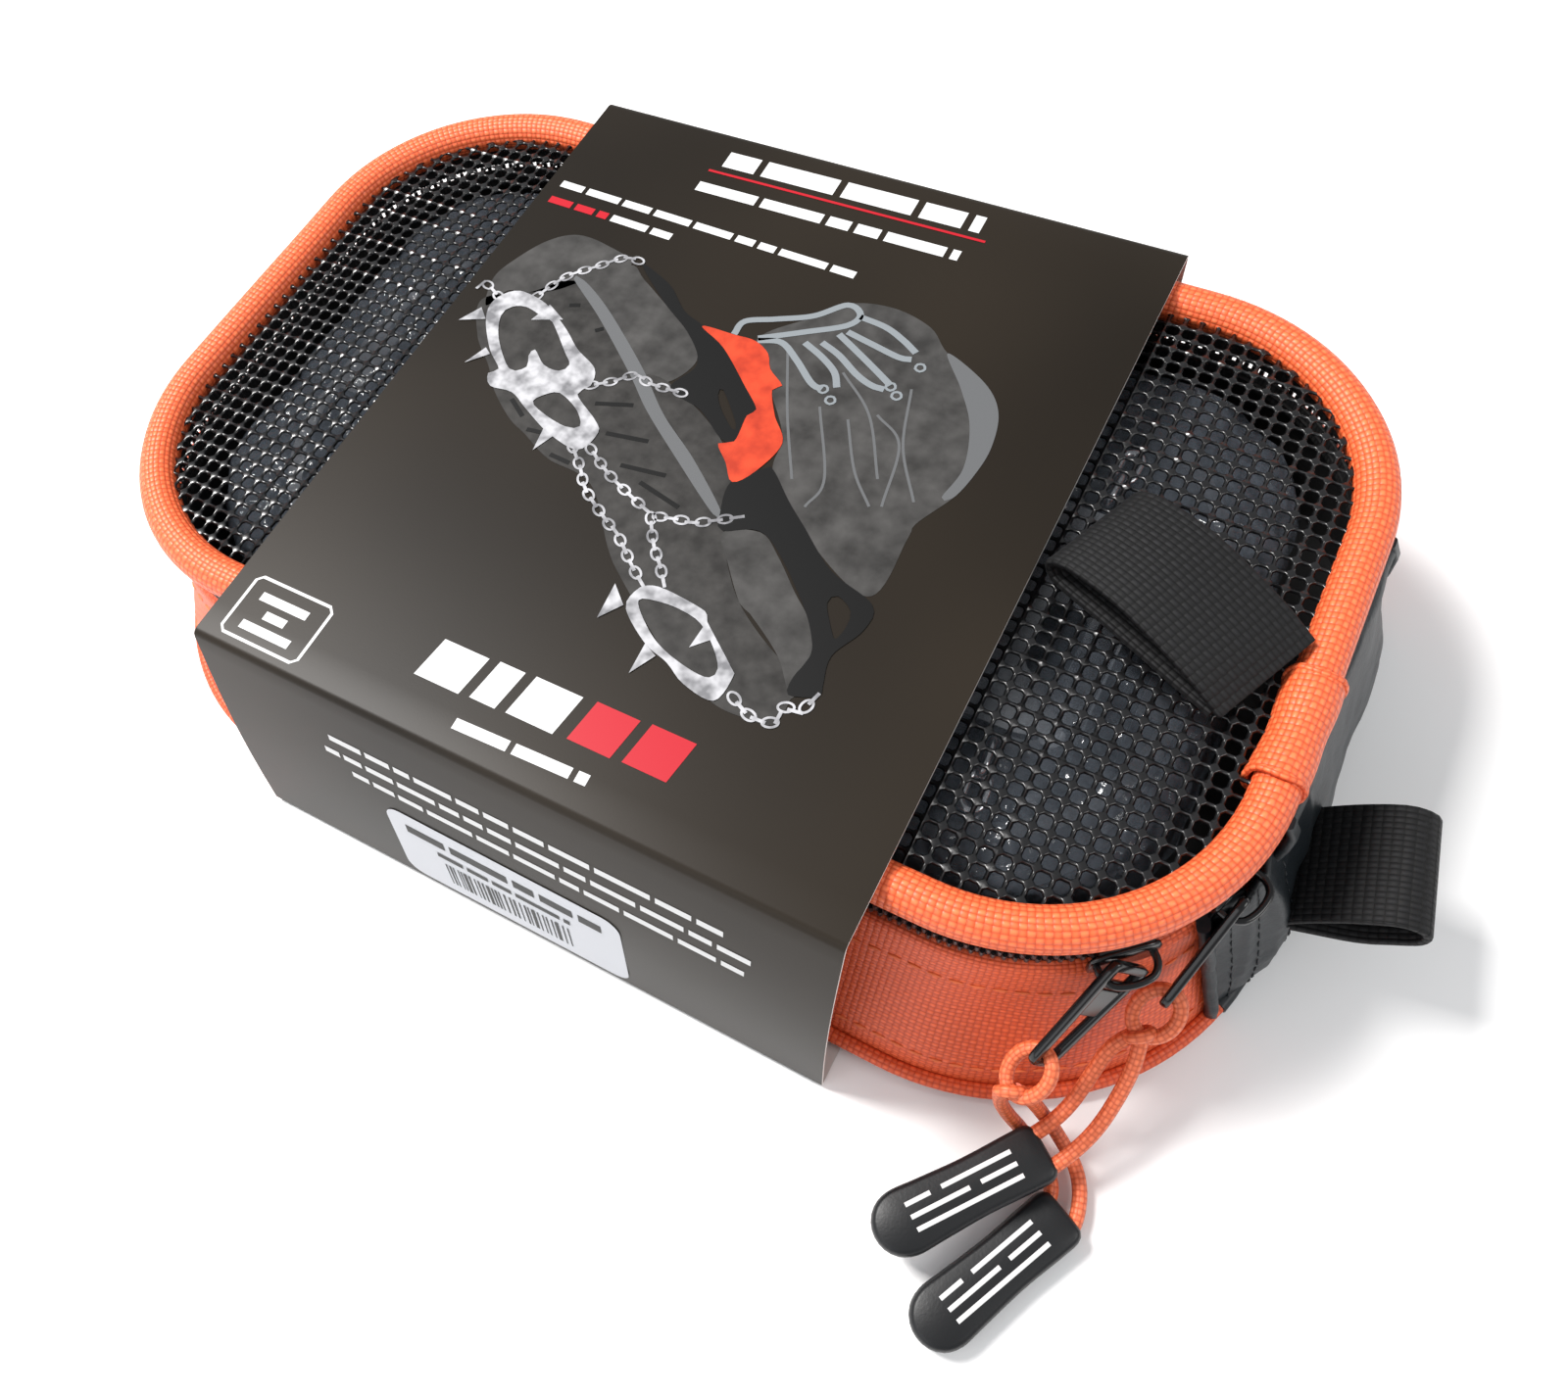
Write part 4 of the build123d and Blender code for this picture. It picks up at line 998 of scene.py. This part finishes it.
def make_artwork():
    art = Print(top_point)
    for look, lift, shape in (
        (BOOT, 0.05, SHAFT), (BOOT_LIGHT, 0.07, COLLAR), (BOOT, 0.06, TOECAP), (BOOT, 0.07, VAMP),
        (BOOT_DARK, 0.06, SOLE), (BOOT, 0.08, HEEL_SIDE), (BOOT_DARK, 0.08, QUARTER),
        (BOOT_LIGHT, 0.1, MIDSOLE),
    ):
        art.area(look, lift, shape)
    for seam in SEAMS:
        art.stroke(BOOT_LIGHT, 0.09, seam, 0.5)
    for lug in LUGS:
        art.stroke(PRINT_DARK, 0.1, lug, 0.9)
    for lace in LACES:
        art.stroke(LACE, 0.12, lace, 1.3)
    for x, y in EYELETS:
        art.stroke(LACE, 0.13, [(x + 0.9 * math.cos(a), y + 0.9 * math.sin(a))
                                for a in (0, 1.26, 2.51, 3.77, 5.03)], 0.5, closed=True)
    art.area(PRINT_DARK, 0.14, HARNESS, [HARNESS_SLOT])
    art.area(PRINT_DARK, 0.14, REAR_HARNESS, [REAR_HOLE])
    art.area(PRINT_RED, 0.16, STRAP)
    for chain in CHAINS:
        art.chain(0.18, chain)
    for spike in SPIKES:
        art.area(PRINT_STEEL, 0.2, spike, round_off=False)
    art.area(PRINT_STEEL, 0.21, TOE_RING, TOE_HOLES)
    art.area(PRINT_STEEL, 0.21, HEEL_RING, [HEEL_HOLE])
    # lines of print at the back, the title and the round-cornered badge at the front
    for look, start, end, height, seed in (
        (INK_WHITE, (-31, 60.2), (24, 60.9), 4.4, 1), (INK_WHITE, (-33, 52.2), (23, 52.8), 2.6, 2),
        (INK_WHITE, (-60, 43.2), (7, 41.6), 1.8, 3), (INK_RED, (-60, 38.4), (-46, 38.2), 1.8, 4),
        (INK_WHITE, (-45, 38.2), (-31, 37.8), 1.8, 5),
    ):
        art.words(look, 0.06, start, end, height, seed)
    art.stroke(INK_RED, 0.08, [(-33, 58.3), (26, 59.2)], 0.6)
    badge = [(-58, -61), (-43, -61), (-42, -62), (-42, -72), (-43, -73), (-58, -73), (-59, -72), (-59, -62)]
    art.stroke(INK_WHITE, 0.06, badge, 0.6, closed=True, round_off=False)
    for k, (a, b) in enumerate(((-56, -45), (-53, -48), (-56, -45))):
        art.words(INK_WHITE, 0.06, (a, -65.2 - 3 * k), (b, -65.2 - 3 * k), 1.7, 20 + k)
    title = ((-22, 9, INK_WHITE), (-11, 5, INK_WHITE), (-4, 9, INK_WHITE), (7.5, 8, INK_RED), (17.5, 8, INK_RED))
    for x, wide, look in title:
        y = -65.5 + (x + 22) * 0.03
        block = [(x, y), (x + wide, y), (x + wide + 1.2, y + 7.8), (x + 1.2, y + 7.8)]
        art.area(look, 0.06, block, round_off=False)
    art.words(INK_WHITE, 0.06, (-10.6, -71.2), (14.4, -70.4), 2.0, 6)
    piece = art.done("sleeve_print", art.looks, "sleeve", smooth=False)

    side = Print(front_point)
    for k, (a, b) in enumerate(((-36, 42), (-38, 47), (-33, 46))):
        side.words(INK_WHITE, 0.06, (a, 40.0 - 4.4 * k), (b, 40.6 - 4.4 * k), 1.5, 30 + k)
    lines = side.done("sleeve_front_print", side.looks, "sleeve", smooth=False)

    label = Print(lambda x, y, lift: front_point(x - 2.5, y + 14.5, lift))
    shape = []
    for k, (cx, cy) in enumerate(((21.5, 8.5), (21.5, -8.5), (-21.5, -8.5), (-21.5, 8.5))):
        shape += [(cx + 3.5 * math.sin(a + k * math.pi / 2), cy + 3.5 * math.cos(a + k * math.pi / 2))
                  for a in [math.pi / 2 * j / 6 for j in range(7)]]
    label.area(PAPER, 0.16, shape, round_off=False)
    label.words(INK_BLACK, 0.19, (-21, 5.6), (21, 5.6), 2.6, 40)
    label.words(INK_BLACK, 0.19, (-15, 1.6), (14, 1.6), 1.4, 41)
    rng = random.Random(8)
    x = -14.0
    while x < 14:
        wide = rng.choice((0.3, 0.45, 0.8))
        stripe = [(x, -8.5), (x + wide, -8.5), (x + wide, -0.6), (x, -0.6)]
        label.area(INK_BLACK, 0.19, stripe, round_off=False)
        x += wide + rng.choice((0.35, 0.5, 0.8))
    piece = label.done("label_sheet", label.looks, "sleeve", smooth=False)
    stands_for("size_label")


# ---- inside: the clear bag and the crampons -----------------------------------------------
def make_bag():
    rows, uvs = [], []
    levels = [(4.0, 6), (5.5, 1.0), (12, 0), (20, 0.6), (28, 0), (35, 0.8), (38.2, 2.5), (39.4, 7),
              (39.8, 14), (39.6, 24), (39.7, 34), (39.5, 44), (39.6, 52)]
    for z, inset in levels:
        row = []
        for p in outline(-98 + inset, 98 - inset, -55.5 + inset, 55.5 - inset, max(3, 28 - inset)):
            q = Vector((p.x, p.y, z))
            push = 1.6 * wrinkle(q, 13, 1) + 0.8 * wrinkle(q, 5, 6)
            q += Vector((-p.x / 98, -p.y / 56, 0)) * abs(push) + Vector((0, 0, push if z > 30 else 0))
            row.append(q)
        rows.append(row)
        uvs.append([(p.x, p.y) for p in row])
    parts = Parts()
    parts.rows(rows, uvs)
    piece = parts.done("bag_film", FILM, "case")
    stands_for("clear_bag")


def dress_nodes():
    """The CAD parts that are shown as they are."""
    looks = {"bottom_panel": LINING, "zip_end_stops": STOP}
    for side in ("left", "right"):
        looks[f"harness_{side}"] = ELASTOMER
        looks[f"instep_strap_{side}"] = RED
        for part in ("toe_plate", "ball_plate", "heel_plate"):
            looks[f"{part}_{side}"] = STEEL
        for part in ("front_chains", "middle_chains", "rear_chains"):
            looks[f"{part}_{side}"] = LINKS
    for name, look in looks.items():
        data = nodes[name].data
        data.materials.clear()
        data.materials.append(look.m)


# ---- the set: floor, light, camera ----------------------------------------------------------
def make_set():
    bpy.ops.mesh.primitive_plane_add(size=8, location=(0, 0, -0.0004))
    floor = bpy.context.object
    floor.name = "floor"
    floor.data.materials.append(Look("floor", (0.9, 0.9, 0.9), 0.6).m)
    bpy.context.scene.view_settings.view_transform = "Standard"
    world = bpy.data.worlds.new("studio")
    bpy.context.scene.world = world
    world.use_nodes = True
    sky = world.node_tree.nodes["Background"]
    sky.inputs[0].default_value = (0.95, 0.97, 1.0, 1)
    sky.inputs[1].default_value = 0.5
    for name, place, target, size, power, color in (
        ("key", (-0.72, -0.02, 1.12), (0, 0, 0.03), 0.36, 27, (1, 0.98, 0.96)),
        ("side", (0.8, 0.1, 0.7), (0.05, 0, 0.03), 0.4, 3, (1, 0.99, 0.97)),
        ("front", (-0.3, -0.8, 0.5), (0, -0.05, 0.03), 0.8, 3, (0.97, 0.98, 1)),
    ):
        light = bpy.data.lights.new(name, "AREA")
        light.size, light.energy, light.color = size, power, color
        lamp = bpy.data.objects.new(name, light)
        lamp.location = place
        lamp.rotation_euler = (Vector(target) - Vector(place)).to_track_quat("-Z", "Y").to_euler()
        bpy.context.collection.objects.link(lamp)
    data = bpy.data.cameras.new("photo")
    data.sensor_width, data.lens = 36.0, LENS
    data.shift_x, data.shift_y = LENS_SHIFT
    data.clip_start = 0.01
    camera = bpy.data.objects.new("photo", data)
    turn = Euler([math.radians(a) for a in CAMERA_TURN]).to_matrix().to_4x4()
    camera.matrix_world = Matrix.Translation(CAMERA_PLACE) @ turn
    bpy.context.collection.objects.link(camera)
    bpy.context.scene.camera = camera


make_set()
make_gusset()
make_hem()
make_end_panel()
make_zip()
make_lid()
make_lid_mesh()
make_loop("lid_webbing", "lid_strap", (99.6, -9.2, 51.3), 156.0, 0.0,
          [(0.5, -0.7), (7.8, 2.3), (20, 4.9), (30.5, 4.2), (35.0, 2.2), (35.9, 0.2), (34.4, -1.7),
           (30, -2.1), (18, -2.1), (2, -2.1)], "lid_loop")
make_loop("end_webbing", "end_strap", (114.2, -21.5, 18.0), 10.0, 35.0,
          [(1.0, -0.7), (4.9, 0.6), (12.3, 1.7), (18.6, 1.3), (21.3, -0.8), (21.8, -3.2), (20.0, -5.6),
           (16, -6.1), (10.6, -5.9), (2.0, -2.3)], "end_loop")
for number in (1, 2):
    make_slider(number)
    make_puller(number)
    cord, points = make_cord(number)
    tab = make_tab(number)
make_sleeve()
make_artwork()
make_bag()
dress_nodes()
